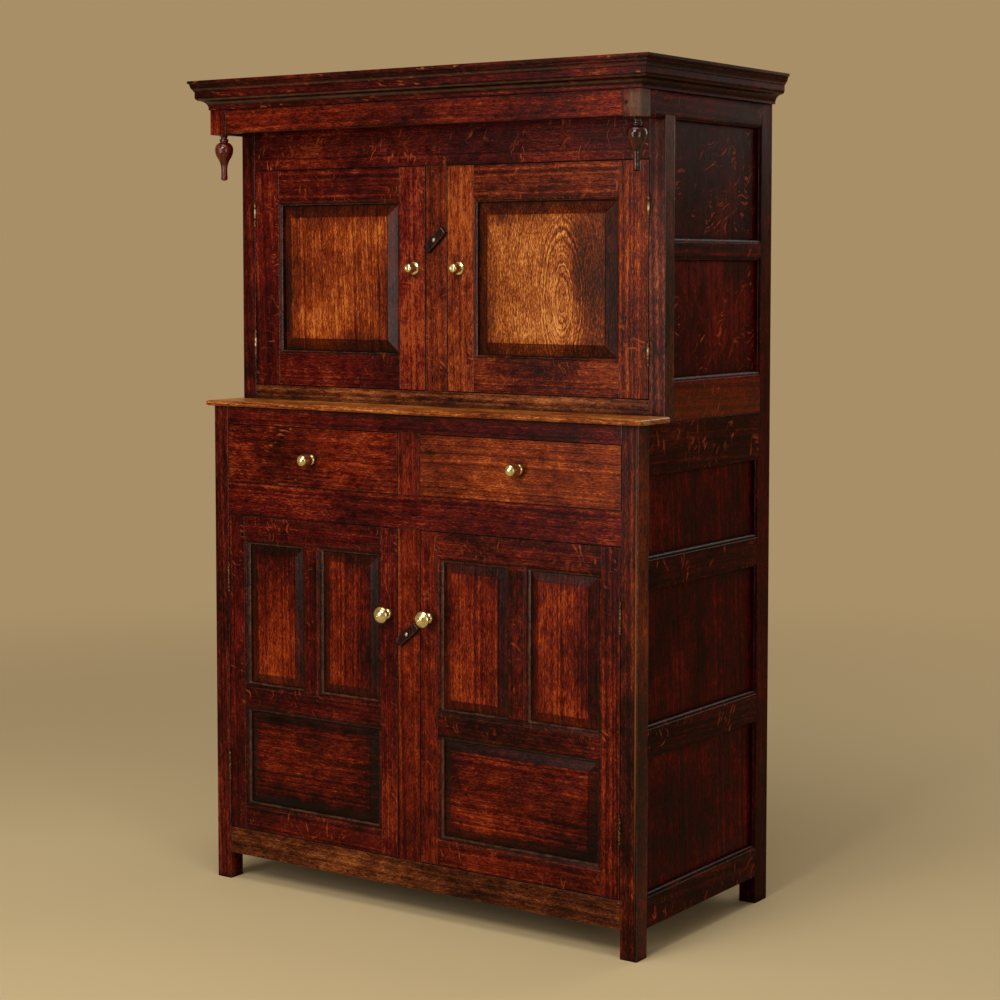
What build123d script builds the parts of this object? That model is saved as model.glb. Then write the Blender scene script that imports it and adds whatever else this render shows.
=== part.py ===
from build123d import *
import os
from collections import defaultdict
from dataclasses import dataclass, replace
from math import asin, atan, cos, sin

os.makedirs("parts", exist_ok=True)

# A joined oak court cupboard in two stages: drawers and doors below, and a recessed upper stage with doors
# under an overhanging frieze with turned pendants. Millimetres; X runs to the right, Y to the back, Z up.
# The origin is on the floor, under the middle of the whole.

# Overall
width = 1190.0                # over the posts, both stages
depth = 590.0                 # front face of the lower stage to the back
lower_height = 1150.0         # floor to the top of the lower stage
upper_height = 706.0          # top of the lower stage to the top of the frieze
recess = 107.0                # upper front behind the lower front
middle_x = -11.0              # middle uprights stand a little left of the centre

# Posts: seen width on the front, flat depth on the side
lower_post_wide = 42.0
lower_post_deep = 43.0
lower_rear_post_deep = 56.0
upper_post_wide = 40.0
upper_post_deep = 38.0
upper_rear_post_deep = 50.0
foot_height = 64.0

# Front rails and uprights
front_thick = 26.0
lower_bottom_rail = 64.0
lower_top_rail = 42.0
drawer_rail = 77.0
drawer_opening = 141.0
lower_muntin = 62.0
upper_bottom_rail = 47.5
upper_top_rail = 141.5
upper_muntin = 60.0

# Side rails
side_thick = 24.0
lower_side_bottom_rail = 67.0
lower_side_rail = 65.0
lower_side_top_rail = 110.0
side_top_panel = 180.0        # opening beside the drawers
upper_side_bottom_rail = 86.0
upper_side_rail = 30.5
upper_side_top_rail = 50.0

# Frieze, corner blocks, pendants
frieze_height = 56.0
block_wide = 48.0
block_deep = 36.0
block_proud_side = 5.0
block_proud_front = 1.5
pendant_length = {"left": 108.5, "right": 114.0}
pendant_set_back = 22.0       # its axis behind the block's face
spigot_radius = 6.0
spigot_long = 9.0

# Cornice
cornice_height = 68.0
cornice_out = 38.5
cornice_in = 20.0             # how far it bears inwards from the block faces

# Waist board
waist_thick = 13.0
waist_nose = 14.0             # projection at the front and at both ends
nose_radius = 5.5

# Boards
floor_thick = 16.0
top_thick = 12.0
back_thick = 10.0
back_inset = 2.0
rear_thick = 22.0
rebate_wide = 8.0
board_gap = 0.6
floor_board_wide = 190.0
top_board_wide = 150.0
back_board_wide = 185.0

# Doors
door_thick = 22.0
door_gap = 2.0                # at the hanging and closing edges
door_gap_z = 1.5              # above and below
upper_stile = 73.0
upper_rail = 76.0
lower_stile = 47.0
lower_door_muntin = 36.0
lower_door_rail = 55.0
lower_mid_rail = 44.0
lower_panel = 247.0           # height of the bottom opening
upper_bevel = 28.0
upper_field_depth = 1.6
lower_bevel = 21.0
lower_field_depth = 3.4
field_step = 1.2

# Drawers
drawer_thick = 22.0           # front
drawer_side = 12.0
drawer_bottom = 8.0
drawer_back_room = 56.0       # behind a shut drawer, to the rear rail
drawer_gap = 1.5
drawer_run = 0.3              # drawer sides above the runners
drawer_groove = 5.0
drawer_side_drop = 10.0       # sides lower than the front
runner_thick = 18.0
runner_wide = 33.0
guide_high = 22.0

# Hinges
upper_hinge_high = 60.0
lower_hinge_high = 70.0
upper_hinge_inset = 102.0     # door end to hinge middle
lower_hinge_inset = 150.0
leaf_thick = 1.6
leaf_wide = 18.0
knuckle_radius = 3.2
pin_radius = 1.5
pin_fit = 0.05
knuckle_gap = 0.15
axis_proud = 1.0              # pin axis in front of the door face
hinge_room = 0.4

# Knobs
upper_knob_inset = 31.5       # from the closing edge
lower_knob_inset = {"left": 27.0, "right": 24.0}
upper_knob_height = 330.0     # above the lower stage
lower_knob_height = 692.0
drawer_knob_shift = {"left": (3.0, -3.0), "right": (4.5, 5.0)}    # to the right and up, off the middle
knob_spigot = 4.0
knob_spigot_long = 12.0
lower_knob_reach = 39.0
upper_knob_reach = 27.0
drawer_knob_reach = 44.0

# Turn-buttons
button_long = 69.0
button_wide = 20.0
button_thick = 9.0
button_corner = 2.5
button_clear = 1.0            # behind the bar, off the door faces
screw_radius = 2.5
screw_fit = 0.05
screw_head = 4.6
screw_long = 14.0
upper_button_height = 394.0
lower_button_height = 650.5
upper_button_tilt = 42.5       # the ends clear the door edges
lower_button_tilt = 39.0

# Joinery
arris = 0.8
ovolo = 9.0
wide_ovolo = 14.0             # flatter, on the lower doors
ovolo_flat = 1.0
ovolo_step = 1.2
ovolo_lip = 0.4               # least wood left in front of the groove
tenon_shoulder = 8.0
mortise_room = 1.0
panel_room = 1.0
panel_slack = 0.1

# Levels and planes that follow from these
front_y = (max(lower_knob_reach, drawer_knob_reach, cornice_out + block_proud_front) - depth) / 2
back_y = front_y + depth
upper_front_y = front_y + recess
half = width / 2
door_level = foot_height + lower_bottom_rail
drawer_level = lower_height - lower_top_rail - drawer_opening
drawer_rail_level = drawer_level - drawer_rail
frieze_top = lower_height + upper_height
upper_door_level = lower_height + upper_bottom_rail
upper_door_top = frieze_top - upper_top_rail
side_rail_top = frieze_top - upper_side_top_rail
block_level = side_rail_top - ovolo
block_half = half + block_proud_side


@dataclass
class Stock:
    """How a frame is made: all depths are measured back from its face plane."""
    thick: float
    set_back: float = 0.0
    moulding: float = 0.0
    groove_from: float = 0.0
    groove_wide: float = 0.0
    groove_deep: float = 0.0
    tenon_from: float = 10.0
    tenon_thick: float = 8.0
    tenon_long: float = 18.0


@dataclass
class Piece:
    """A frame member in face coordinates; upright or lying, and shaped here or only jointed to."""
    name: str
    u0: float
    u1: float
    v0: float
    v1: float
    upright: bool = False
    made_here: bool = True


@dataclass
class Opening:
    """A panel opening between the flat edges of its members, with the sides that are moulded."""
    name: str
    u0: float
    u1: float
    v0: float
    v1: float
    moulded: tuple = ("bottom", "right", "top", "left")


sides = ("bottom", "right", "top", "left")
front_stock = Stock(front_thick, tenon_from=front_thick - rebate_wide - 8.0, tenon_long=upper_post_wide - side_thick)
side_stock = Stock(side_thick, moulding=ovolo, groove_from=11.0, groove_wide=6.0, groove_deep=8.0)
edge_stock = Stock(side_thick, moulding=ovolo)
rear_stock = Stock(rear_thick, set_back=back_inset + back_thick, tenon_from=back_inset + back_thick + 7.0)
upper_door_stock = Stock(door_thick, moulding=ovolo, groove_from=9.6, groove_wide=4.8, groove_deep=8.0,
                         tenon_from=8.0, tenon_thick=7.0, tenon_long=38.0)
lower_door_stock = replace(upper_door_stock, moulding=wide_ovolo)

# Every timber by "node/piece", with what is worked on to it and what is cut out of it
timbers = {}
worked_on = defaultdict(list)
cut_out = defaultdict(list)


def block(x0, x1, y0, y1, z0, z1, edge=arris):
    """A squared board between two corners, with its arrises taken off."""
    board = Pos((x0 + x1) / 2, (y0 + y1) / 2, (z0 + z1) / 2) * Box(x1 - x0, y1 - y0, z1 - z0)
    return chamfer(board.edges(), edge) if edge else board


def post_timber(*corners):
    """An upright with its four long arrises taken off."""
    post = block(*corners, 0)
    return chamfer(post.edges().filter_by(Axis.Z), arris)


def board_in_face(u0, u1, v0, v1, near, far, edge=0):
    """A board in face coordinates, between two depths behind the face, eased round its front."""
    board = block(u0, u1, v0, v1, -far, -near, 0)
    return chamfer(board.faces().sort_by(Axis.Z)[-1].edges(), edge) if edge else board


def on_front(y):
    """Puts face coordinates on a plane that looks forwards: u is X, v is Z."""
    location = Plane(origin=(0, y, 0), x_dir=(1, 0, 0), z_dir=(0, -1, 0)).location
    return lambda solid: location * solid


def on_back(solid):
    """Puts face coordinates on the back plane, seen from behind."""
    return Plane(origin=(0, back_y, 0), x_dir=(-1, 0, 0), z_dir=(0, 1, 0)).location * solid


def on_right(solid):
    """Puts face coordinates on the right side: u runs back from the lower front, v is Z."""
    return Plane(origin=(half, front_y, 0), x_dir=(0, 1, 0), z_dir=(1, 0, 0)).location * solid


def on_left(solid):
    return on_right(solid).mirror(Plane.YZ)


def moulding_section(stock):
    """An ovolo between a small fillet and the sight edge, with the panel groove in the edge."""
    reach = stock.moulding
    across = reach - ovolo_flat
    drop = min(across, (stock.groove_from or stock.thick) - ovolo_lip - ovolo_step)
    half_turn = atan(drop / across)
    radius = across / sin(2 * half_turn)
    start = (ovolo_flat, -ovolo_step)
    end = (reach, -ovolo_step - drop)
    bulge = (ovolo_flat + radius * sin(half_turn), -ovolo_step - radius * (1 - cos(half_turn)))
    groove = []
    if stock.groove_deep:
        bottom = reach - stock.groove_deep
        groove_end = stock.groove_from + stock.groove_wide
        groove = [(reach, -stock.groove_from), (bottom, -stock.groove_from),
                  (bottom, -groove_end), (reach, -groove_end)]
    rest = Polyline(end, *groove, (reach, -stock.thick), (0, -stock.thick), (0, -ovolo_step), start)
    return Plane.YZ * make_face(ThreePointArc(start, bulge, end) + rest)


def along_side(opening, side, solid):
    """Lays a solid that runs along X from the origin along one side, its +Y into the opening."""
    corner = {"bottom": (opening.u0, opening.v0), "right": (opening.u1, opening.v0),
              "top": (opening.u1, opening.v1), "left": (opening.u0, opening.v1)}[side]
    return Pos(*corner) * Rot(0, 0, 90 * sides.index(side)) * solid


def side_run(opening, side):
    """Length of a side, and whether the side before it and the side after it are moulded."""
    turn = sides.index(side)
    length = opening.u1 - opening.u0 if side in ("bottom", "top") else opening.v1 - opening.v0
    return length, sides[turn - 1] in opening.moulded, sides[(turn + 1) % 4] in opening.moulded


def edge_moulding(opening, side, stock):
    """The moulded edge that a member carries along one side, mitred to its moulded neighbours."""
    length, before, after = side_run(opening, side)
    reach = stock.moulding
    plan = Polyline((0, 0), (length, 0), (length - reach * after, reach), (reach * before, reach), (0, 0))
    strip = extrude(moulding_section(stock), length)
    return along_side(opening, side, strip & extrude(make_face(plan), -stock.thick))


def edge_groove(opening, side, stock):
    """The panel groove in a plain edge."""
    length, before, after = side_run(opening, side)
    deep = stock.groove_deep
    start = stock.moulding * before - deep
    end = length - stock.moulding * after + deep
    far = stock.groove_from + stock.groove_wide
    return along_side(opening, side, board_in_face(start, end, -deep, 0, stock.groove_from, far))


def sight(opening, stock):
    """The rectangle seen through an opening, inside its mouldings."""
    inset = {side: stock.moulding * (side in opening.moulded) for side in sides}
    return (opening.u0 + inset["left"], opening.u1 - inset["right"],
            opening.v0 + inset["bottom"], opening.v1 - inset["top"])


def flat_panel(opening, stock):
    """A thin panel whose edges run in the grooves."""
    u0, u1, v0, v1 = sight(opening, stock)
    tongue = stock.groove_deep - panel_room
    near = stock.groove_from + panel_slack
    far = stock.groove_from + stock.groove_wide - panel_slack
    return board_in_face(u0 - tongue, u1 + tongue, v0 - tongue, v1 + tongue, near, far)


def rectangle_at(u0, u1, v0, v1, near):
    return Pos((u0 + u1) / 2, (v0 + v1) / 2, -near) * Rectangle(u1 - u0, v1 - v0)


def fielded_panel(opening, stock, bevel, field_depth):
    """A flat panel with a raised field: a bevel rises from the sight edge to a step round the field."""
    u0, u1, v0, v1 = sight(opening, stock)
    foot = stock.groove_from + panel_slack
    inner = (u0 + bevel, u1 - bevel, v0 + bevel, v1 - bevel)
    slope = loft([rectangle_at(u0, u1, v0, v1, foot), rectangle_at(*inner, field_depth + field_step)],
                 ruled=True)
    field = board_in_face(*inner, field_depth, foot)
    return flat_panel(opening, stock) + [slope, field]


def borders(piece, opening, side):
    """True where one side of an opening runs along the edge of a member."""
    across = piece.u0 < opening.u1 and piece.u1 > opening.u0
    up = piece.v0 < opening.v1 and piece.v1 > opening.v0
    return {"bottom": across and abs(piece.v1 - opening.v0) < 0.01,
            "top": across and abs(piece.v0 - opening.v1) < 0.01,
            "right": up and abs(piece.u0 - opening.u1) < 0.01,
            "left": up and abs(piece.u1 - opening.u0) < 0.01}[side]


def tenon(piece, end, stock, room):
    """The tenon at one end of a member, made longer by room where it is used to cut the mortise."""
    reach = stock.tenon_long + room
    depths = (stock.tenon_from, stock.tenon_from + stock.tenon_thick)
    if piece.upright:
        span = (piece.v0 - reach, piece.v0) if end == 0 else (piece.v1, piece.v1 + reach)
        return board_in_face(piece.u0 + tenon_shoulder, piece.u1 - tenon_shoulder, *span, *depths)
    span = (piece.u0 - reach, piece.u0) if end == 0 else (piece.u1, piece.u1 + reach)
    return board_in_face(*span, piece.v0 + tenon_shoulder, piece.v1 - tenon_shoulder, *depths)


def host_of(piece, end, pieces):
    """The member that the end of another member is tenoned into."""
    for other in pieces:
        if piece.upright:
            level = (other.v1 - piece.v0, other.v0 - piece.v1)[end]
            beside = other.u0 <= piece.u0 and other.u1 >= piece.u1
        else:
            level = (other.u1 - piece.u0, other.u0 - piece.u1)[end]
            beside = other.v0 <= piece.v0 and other.v1 >= piece.v1
        if other.upright != piece.upright and beside and abs(level) < 0.01:
            return other
    return None


def join_frame(place, pieces, openings, stock):
    """Works out the members of one frame: mouldings and grooves round its openings, tenons and mortises."""
    for piece in pieces:
        if piece.made_here:
            depths = (stock.set_back, stock.set_back + stock.thick)
            timbers[piece.name] = place(board_in_face(piece.u0, piece.u1, piece.v0, piece.v1, *depths, arris))
        for opening in openings:
            for side in sides:
                if not borders(piece, opening, side):
                    continue
                if side in opening.moulded:
                    worked_on[piece.name].append(place(edge_moulding(opening, side, stock)))
                else:
                    cut_out[piece.name].append(place(edge_groove(opening, side, stock)))
        for end in (0, 1):
            host = host_of(piece, end, pieces)
            if host and piece.made_here:
                worked_on[piece.name].append(place(tenon(piece, end, stock, 0)))
                cut_out[host.name].append(place(tenon(piece, end, stock, mortise_room)))


def plank_row(u0, u1, plank, lay):
    """Lays whole planks side by side over a span, with a small gap between them."""
    count = max(1, round((u1 - u0) / plank))
    step = (u1 - u0) / count
    return [lay(u0 + i * step, u0 + (i + 1) * step - board_gap) for i in range(count)]


def add_row(node, planks):
    for number, plank in enumerate(planks, 1):
        timbers[f"{node}/{number}"] = plank


def lower_stage():
    """Posts whose ends are the feet, the front, side and rear frames, floor and top boards."""
    inner = half - lower_post_wide
    deep = {"front": (0, lower_post_deep), "rear": (depth - lower_rear_post_deep, depth)}
    posts = {"left": "lower_post_front_left/1", "right": "lower_post_front_right/1"}
    for hand, sign in (("left", -1), ("right", 1)):
        xs = sorted((sign * inner, sign * half))
        for where, (y0, y1) in deep.items():
            name = posts[hand] if where == "front" else f"lower_posts_rear/{hand}"
            timbers[name] = post_timber(*xs, front_y + y0, front_y + y1, 0, lower_height)

    def post(u0, u1, name):
        return Piece(name, u0, u1, 0, lower_height, upright=True, made_here=False)

    front = [post(-half, -inner, posts["left"]), post(inner, half, posts["right"]),
             Piece("lower_top_rail/1", -inner, inner, lower_height - lower_top_rail, lower_height),
             Piece("drawer_rail/1", -inner, inner, drawer_rail_level, drawer_level),
             Piece("lower_bottom_rail/1", -inner, inner, foot_height, door_level),
             Piece("drawer_divider/1", middle_x - lower_muntin / 2, middle_x + lower_muntin / 2,
                   drawer_level, lower_height - lower_top_rail, upright=True),
             Piece("lower_muntin/1", middle_x - lower_muntin / 2, middle_x + lower_muntin / 2,
                   door_level, drawer_rail_level, upright=True)]
    join_frame(on_front(front_y), front, [], front_stock)

    rear = [post(-half, -inner, "lower_posts_rear/right"), post(inner, half, "lower_posts_rear/left"),
            Piece("lower_rear_rails/top", -inner, inner, lower_height - lower_top_rail, lower_height),
            Piece("lower_rear_rails/middle", -inner, inner, drawer_rail_level, drawer_level),
            Piece("lower_rear_rails/bottom", -inner, inner, foot_height, door_level)]
    join_frame(on_back, rear, [], rear_stock)

    # Side levels: a top rail, the opening beside the drawers, and two equal openings below it
    top = lower_height - lower_side_top_rail
    upper_rail_top = top - side_top_panel
    upper_rail_foot = upper_rail_top - lower_side_rail
    bottom = foot_height + lower_side_bottom_rail
    lower_rail_foot = (bottom + upper_rail_foot - lower_side_rail) / 2
    lower_rail_top = lower_rail_foot + lower_side_rail
    y0, y1 = deep["front"][1], deep["rear"][0]
    rails = [(foot_height, bottom), (lower_rail_foot, lower_rail_top), (upper_rail_foot, upper_rail_top),
             (top, lower_height)]
    gaps = [(bottom, lower_rail_foot), (lower_rail_top, upper_rail_foot), (upper_rail_top, top)]
    for hand, place in (("left", on_left), ("right", on_right)):
        pieces = [post(0, y0, posts[hand]), post(y1, depth, f"lower_posts_rear/{hand}")]
        pieces += [Piece(f"lower_side_rails/{hand}_{i}", y0, y1, *level) for i, level in enumerate(rails)]
        openings = [Opening(f"lower_side_panels/{hand}_{i}", y0, y1, *gap, ("bottom", "right", "left"))
                    for i, gap in enumerate(gaps)]
        join_frame(place, pieces, openings, side_stock)
        for opening in openings:
            timbers[opening.name] = place(flat_panel(opening, side_stock))

    # Floor and top boards run from front to back in rebates of the front and rear rails
    lay_boards("lower_floor_boards", "lower_bottom_rail/1", "lower_rear_rails/bottom",
               front_y, door_level, floor_thick, inner, deep)
    lay_boards("lower_top_boards", "lower_top_rail/1", "lower_rear_rails/top",
               front_y, lower_height, top_thick, inner, deep)
    add_row("lower_back_boards", plank_row(-inner, inner, back_board_wide, lambda x0, x1: block(
        x0, x1, back_y - back_inset - back_thick, back_y - back_inset, foot_height, lower_height, 0)))


def lay_boards(node, front_rail, rear_rail, face_y, top_z, thick, inner, deep):
    """Boards from front to back, let into rebates of both rails and notched round the posts."""
    rear_face = back_y - back_inset - back_thick - rear_thick
    y0 = face_y + front_thick - rebate_wide
    y1 = rear_face + rebate_wide
    span = half - side_thick - board_gap
    for rail, ys in ((front_rail, (y0, y0 + rebate_wide)), (rear_rail, (y1 - rebate_wide, y1))):
        cut_out[rail].append(block(-half, half, *ys, top_z - thick, top_z, 0))
    add_row(node, plank_row(-span, span, floor_board_wide,
                            lambda x0, x1: block(x0, x1, y0, y1, top_z - thick, top_z, 0)))
    for name in [key for key in timbers if key.startswith(node)]:
        for a, b in deep.values():
            for x in (-half, inner - board_gap):
                notch = (x, x + half - inner + board_gap)
                ys = (front_y + a - board_gap, front_y + b + board_gap)
                cut_out[name].append(block(*notch, *ys, top_z - thick, top_z, 0))


def upper_stage():
    """Recessed posts and frames; the long side rails run forward over the front posts."""
    inner = half - upper_post_wide
    deep = {"front": (recess, recess + upper_post_deep), "rear": (depth - upper_rear_post_deep, depth)}
    posts = {"left": "upper_post_front_left/1", "right": "upper_post_front_right/1"}
    for hand, sign in (("left", -1), ("right", 1)):
        xs = sorted((sign * inner, sign * half))
        for where, (y0, y1) in deep.items():
            name = posts[hand] if where == "front" else f"upper_posts_rear/{hand}"
            timbers[name] = post_timber(*xs, front_y + y0, front_y + y1, lower_height, frieze_top)
        # The front post stands behind the long rail, in a notch as deep as the rail is thick
        xs = sorted((sign * (half - side_thick), sign * half))
        y0, y1 = deep["front"]
        cut_out[posts[hand]].append(block(*xs, front_y + y0, front_y + y1, side_rail_top, frieze_top, 0))

    def post(u0, u1, name):
        return Piece(name, u0, u1, lower_height, frieze_top, upright=True, made_here=False)

    front = [post(-half, -inner, posts["left"]), post(inner, half, posts["right"]),
             Piece("upper_bottom_rail/1", -inner, inner, lower_height, upper_door_level),
             Piece("upper_muntin/1", middle_x - upper_muntin / 2, middle_x + upper_muntin / 2,
                   upper_door_level, upper_door_top, upright=True),
             Piece("upper_top_rail/1", -inner, inner, upper_door_top, frieze_top)]
    join_frame(on_front(upper_front_y), front, [], front_stock)

    rear = [post(-half, -inner, "upper_posts_rear/right"), post(inner, half, "upper_posts_rear/left"),
            Piece("upper_rear_rails/bottom", -inner, inner, lower_height, upper_door_level),
            Piece("upper_rear_rails/top", -inner, inner, frieze_top - upper_side_top_rail, frieze_top)]
    join_frame(on_back, rear, [], rear_stock)

    bottom = lower_height + upper_side_bottom_rail
    rail_foot = (bottom + side_rail_top - upper_side_rail) / 2
    rail_top = rail_foot + upper_side_rail
    y0, y1 = deep["front"][1], deep["rear"][0]
    block_back = block_deep - block_proud_front
    for hand, place in (("left", on_left), ("right", on_right)):
        long_rail = f"upper_side_rails/{hand}_top"
        pieces = [post(recess, y0, posts[hand]), post(y1, depth, f"upper_posts_rear/{hand}"),
                  Piece(f"upper_side_rails/{hand}_bottom", y0, y1, lower_height, bottom),
                  Piece(f"upper_side_rails/{hand}_middle", y0, y1, rail_foot, rail_top),
                  Piece(long_rail, block_back, y1, side_rail_top, frieze_top),
                  Piece(f"corner_blocks/{hand}", -block_proud_front, block_back, block_level, frieze_top,
                        upright=True, made_here=False)]
        openings = [Opening(f"upper_side_panels/{hand}_lower", y0, y1, bottom, rail_foot),
                    Opening(f"upper_side_panels/{hand}_upper", y0, y1, rail_top, side_rail_top)]
        join_frame(place, pieces, openings, side_stock)
        for opening in openings:
            timbers[opening.name] = place(flat_panel(opening, side_stock))
        overhang = Opening("", block_back, recess, 0, side_rail_top, ("top",))
        worked_on[long_rail].append(place(edge_moulding(overhang, "top", edge_stock)))

    lay_boards("upper_floor_boards", "upper_bottom_rail/1", "upper_rear_rails/bottom",
               upper_front_y, upper_door_level, floor_thick, inner, deep)
    add_row("upper_back_boards", plank_row(-inner, inner, back_board_wide, lambda x0, x1: block(
        x0, x1, back_y - back_inset - back_thick, back_y - back_inset, lower_height, frieze_top, 0)))


def frieze():
    """The front rail of the overhang between two square blocks, each with a turned pendant under it."""
    block_inner = block_half - block_wide
    face = front_y - block_proud_front
    for hand, sign in (("left", -1), ("right", 1)):
        xs = sorted((sign * block_inner, sign * block_half))
        timbers[f"corner_blocks/{hand}"] = block(*xs, face, face + block_deep, block_level, frieze_top)
        centre = Pos(sign * (block_half - block_wide / 2), face + pendant_set_back, block_level)
        cut_out[f"corner_blocks/{hand}"].append(centre * Cylinder(
            spigot_radius, spigot_long + mortise_room, align=(Align.CENTER, Align.CENTER, Align.MIN)))
        timbers[f"pendant_{hand}/1"] = centre * pendant(pendant_length[hand])
    ends = [Piece("corner_blocks/left", -block_half, -block_inner, block_level, frieze_top, True, False),
            Piece("corner_blocks/right", block_inner, block_half, block_level, frieze_top, True, False)]
    rail = Piece("frieze_rail/1", -block_inner, block_inner, frieze_top - frieze_height, frieze_top)
    join_frame(on_front(front_y), ends + [rail], [], front_stock)


def pendant(length):
    """A turned drop: spigot, flared fillet, neck and bead, a vase body and a long flared tail."""
    flare = 12.5
    neck = 7.6
    bead = 9.3
    body = 21.8
    foot = 8.3
    foot_level = 4 - length
    top = Polyline((0, spigot_long), (spigot_radius, spigot_long), (spigot_radius, 0), (flare, 0), (flare, -1.2))
    hollow = ThreePointArc((flare, -1.2), (8.9, -3.4), (neck, -7))
    ring = [Polyline((neck, -7), (neck, -9.5), (bead, -9.5)), ThreePointArc((bead, -9.5), (10.8, -12.8), (bead, -16)),
            Polyline((bead, -16), (bead, -17.5), (12.5, -18.2))]
    shoulder = ThreePointArc((12.5, -18.2), (19.2, -24.6), (body, -34.5))
    belly = ThreePointArc((body, -34.5), (20.5, -44.5), (16.6, -53.5))
    ankle = ThreePointArc((16.6, -53.5), (10.6, -65), (neck, -79))
    tail = ThreePointArc((neck, -79), (neck - 0.3, -89), (foot, foot_level))
    outline = [top, hollow, *ring, shoulder, belly, ankle, tail, cap(foot, foot_level, -4),
               Line((0, -length), (0, spigot_long))]
    return revolve(Plane.XZ * make_face(outline), Axis.Z)


def cap(radius, level, rise):
    """A spherical dome's outline, from its rim to the axis, as (radius, height)."""
    ball = (radius ** 2 + rise ** 2) / (2 * abs(rise))
    half_angle = asin(min(1, radius / ball)) / 2
    side = 1 if rise > 0 else -1
    return ThreePointArc((radius, level), (ball * sin(half_angle), level + rise - side * ball *
                         (1 - cos(half_angle))), (0, level + rise))


def cornice_section():
    """Fillet, cove, small bead, fascia and ogee under a top fillet, as (out from the blocks, up)."""
    cove = ThreePointArc((2.5, 5), (8.2, 16.8), (21, 22))
    bead = ThreePointArc((22, 23), (25, 26.5), (26, 31))
    ogee = ThreePointArc((28.5, 46), (31.8, 50), (33.6, 54.4))
    hollow = ThreePointArc((33.6, 54.4), (34.6, 58.6), (36.5, 62))
    foot = Polyline((-cornice_in, 0), (2.5, 0), (2.5, 5))
    fascia = Polyline((26, 31), (26, 43), (28.5, 43.5), (28.5, 46))
    head = Polyline((36.5, 62), (cornice_out, 62), (cornice_out, cornice_height),
                    (-cornice_in, cornice_height), (-cornice_in, 0))
    return make_face([foot, cove, Line((21, 22), (22, 23)), bead, fascia, ogee, hollow, head])


def cornice():
    """Three lengths of one moulding, mitred at the front corners and flush with the back."""
    face = front_y - block_proud_front
    outer = block_half + cornice_out
    inner = block_half - cornice_in
    front_out = face - cornice_out
    front_in = face + cornice_in
    front_plan = Polyline((-outer, front_out), (outer, front_out), (inner, front_in), (-inner, front_in),
                          (-outer, front_out))
    side_plan = Polyline((outer, front_out), (outer, back_y), (inner, back_y), (inner, front_in),
                         (outer, front_out))
    lift = Pos(0, 0, frieze_top)
    # Sections stand across each run: +x of the section points out of the front, or out of the side
    front_plane = Plane(origin=(-outer, face, frieze_top), x_dir=(0, -1, 0), z_dir=(-1, 0, 0))
    side_plane = Plane(origin=(block_half, back_y, frieze_top), x_dir=(1, 0, 0), z_dir=(0, -1, 0))
    front_run = extrude(front_plane.location * cornice_section(), -2 * outer)
    side_run_length = back_y - front_out
    side_piece = extrude(side_plane.location * cornice_section(), side_run_length)
    right = side_piece & (lift * extrude(make_face(side_plan), cornice_height))
    timbers["cornice_front/1"] = front_run & (lift * extrude(make_face(front_plan), cornice_height))
    timbers["cornice_returns/right"] = right
    timbers["cornice_returns/left"] = right.mirror(Plane.YZ)
    span = inner - board_gap
    y0 = front_in + board_gap
    y1 = back_y - back_inset
    add_row("top_boards", plank_row(y0, y1, top_board_wide, lambda a, b: block(
        -span, span, a, b, frieze_top, frieze_top + top_thick, 0)))


def waist_board():
    """The ledge in front of the upper stage, rounded on its front and ends."""
    x = half + waist_nose
    board = block(-x, x, front_y - waist_nose, upper_front_y, lower_height, lower_height + waist_thick, 0)
    front = board.edges().filter_by(Axis.X).sort_by(Axis.Y)[:2]
    ends = board.edges().filter_by(Axis.Y)
    timbers["waist_board/1"] = fillet(front + ends, nose_radius)


def door(name, hand, u0, u1, v0, v1, face_y, lower):
    """A pegged frame with its fielded panels, ready for knob and hinges."""
    frame = f"{name}_frame"
    stile = lower_stile if lower else upper_stile
    rail = lower_door_rail if lower else upper_rail
    stock = lower_door_stock if lower else upper_door_stock
    a, b = u0 + stile, u1 - stile
    pieces = [Piece(f"{frame}/left", u0, a, v0, v1, True), Piece(f"{frame}/right", b, u1, v0, v1, True),
              Piece(f"{frame}/bottom", a, b, v0, v0 + rail), Piece(f"{frame}/top", a, b, v1 - rail, v1)]
    if lower:
        low_top = v0 + rail + lower_panel
        high_foot = low_top + lower_mid_rail
        m0 = (a + b - lower_door_muntin) / 2
        m1 = m0 + lower_door_muntin
        pieces += [Piece(f"{frame}/middle", a, b, low_top, high_foot),
                   Piece(f"{frame}/muntin", m0, m1, high_foot, v1 - rail, True)]
        openings = [Opening(f"{name}_panels/bottom", a, b, v0 + rail, low_top),
                    Opening(f"{name}_panels/left", a, m0, high_foot, v1 - rail),
                    Opening(f"{name}_panels/right", m1, b, high_foot, v1 - rail)]
        fielding = (lower_bevel, lower_field_depth)
    else:
        openings = [Opening(f"{name}_panel/1", a, b, v0 + rail, v1 - rail)]
        fielding = (upper_bevel, upper_field_depth)
    place = on_front(face_y)
    join_frame(place, pieces, openings, stock)
    for opening in openings:
        timbers[opening.name] = place(fielded_panel(opening, stock, *fielding))
    hang_door(name, hand, u0, u1, v0, v1, face_y, lower)


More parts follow.
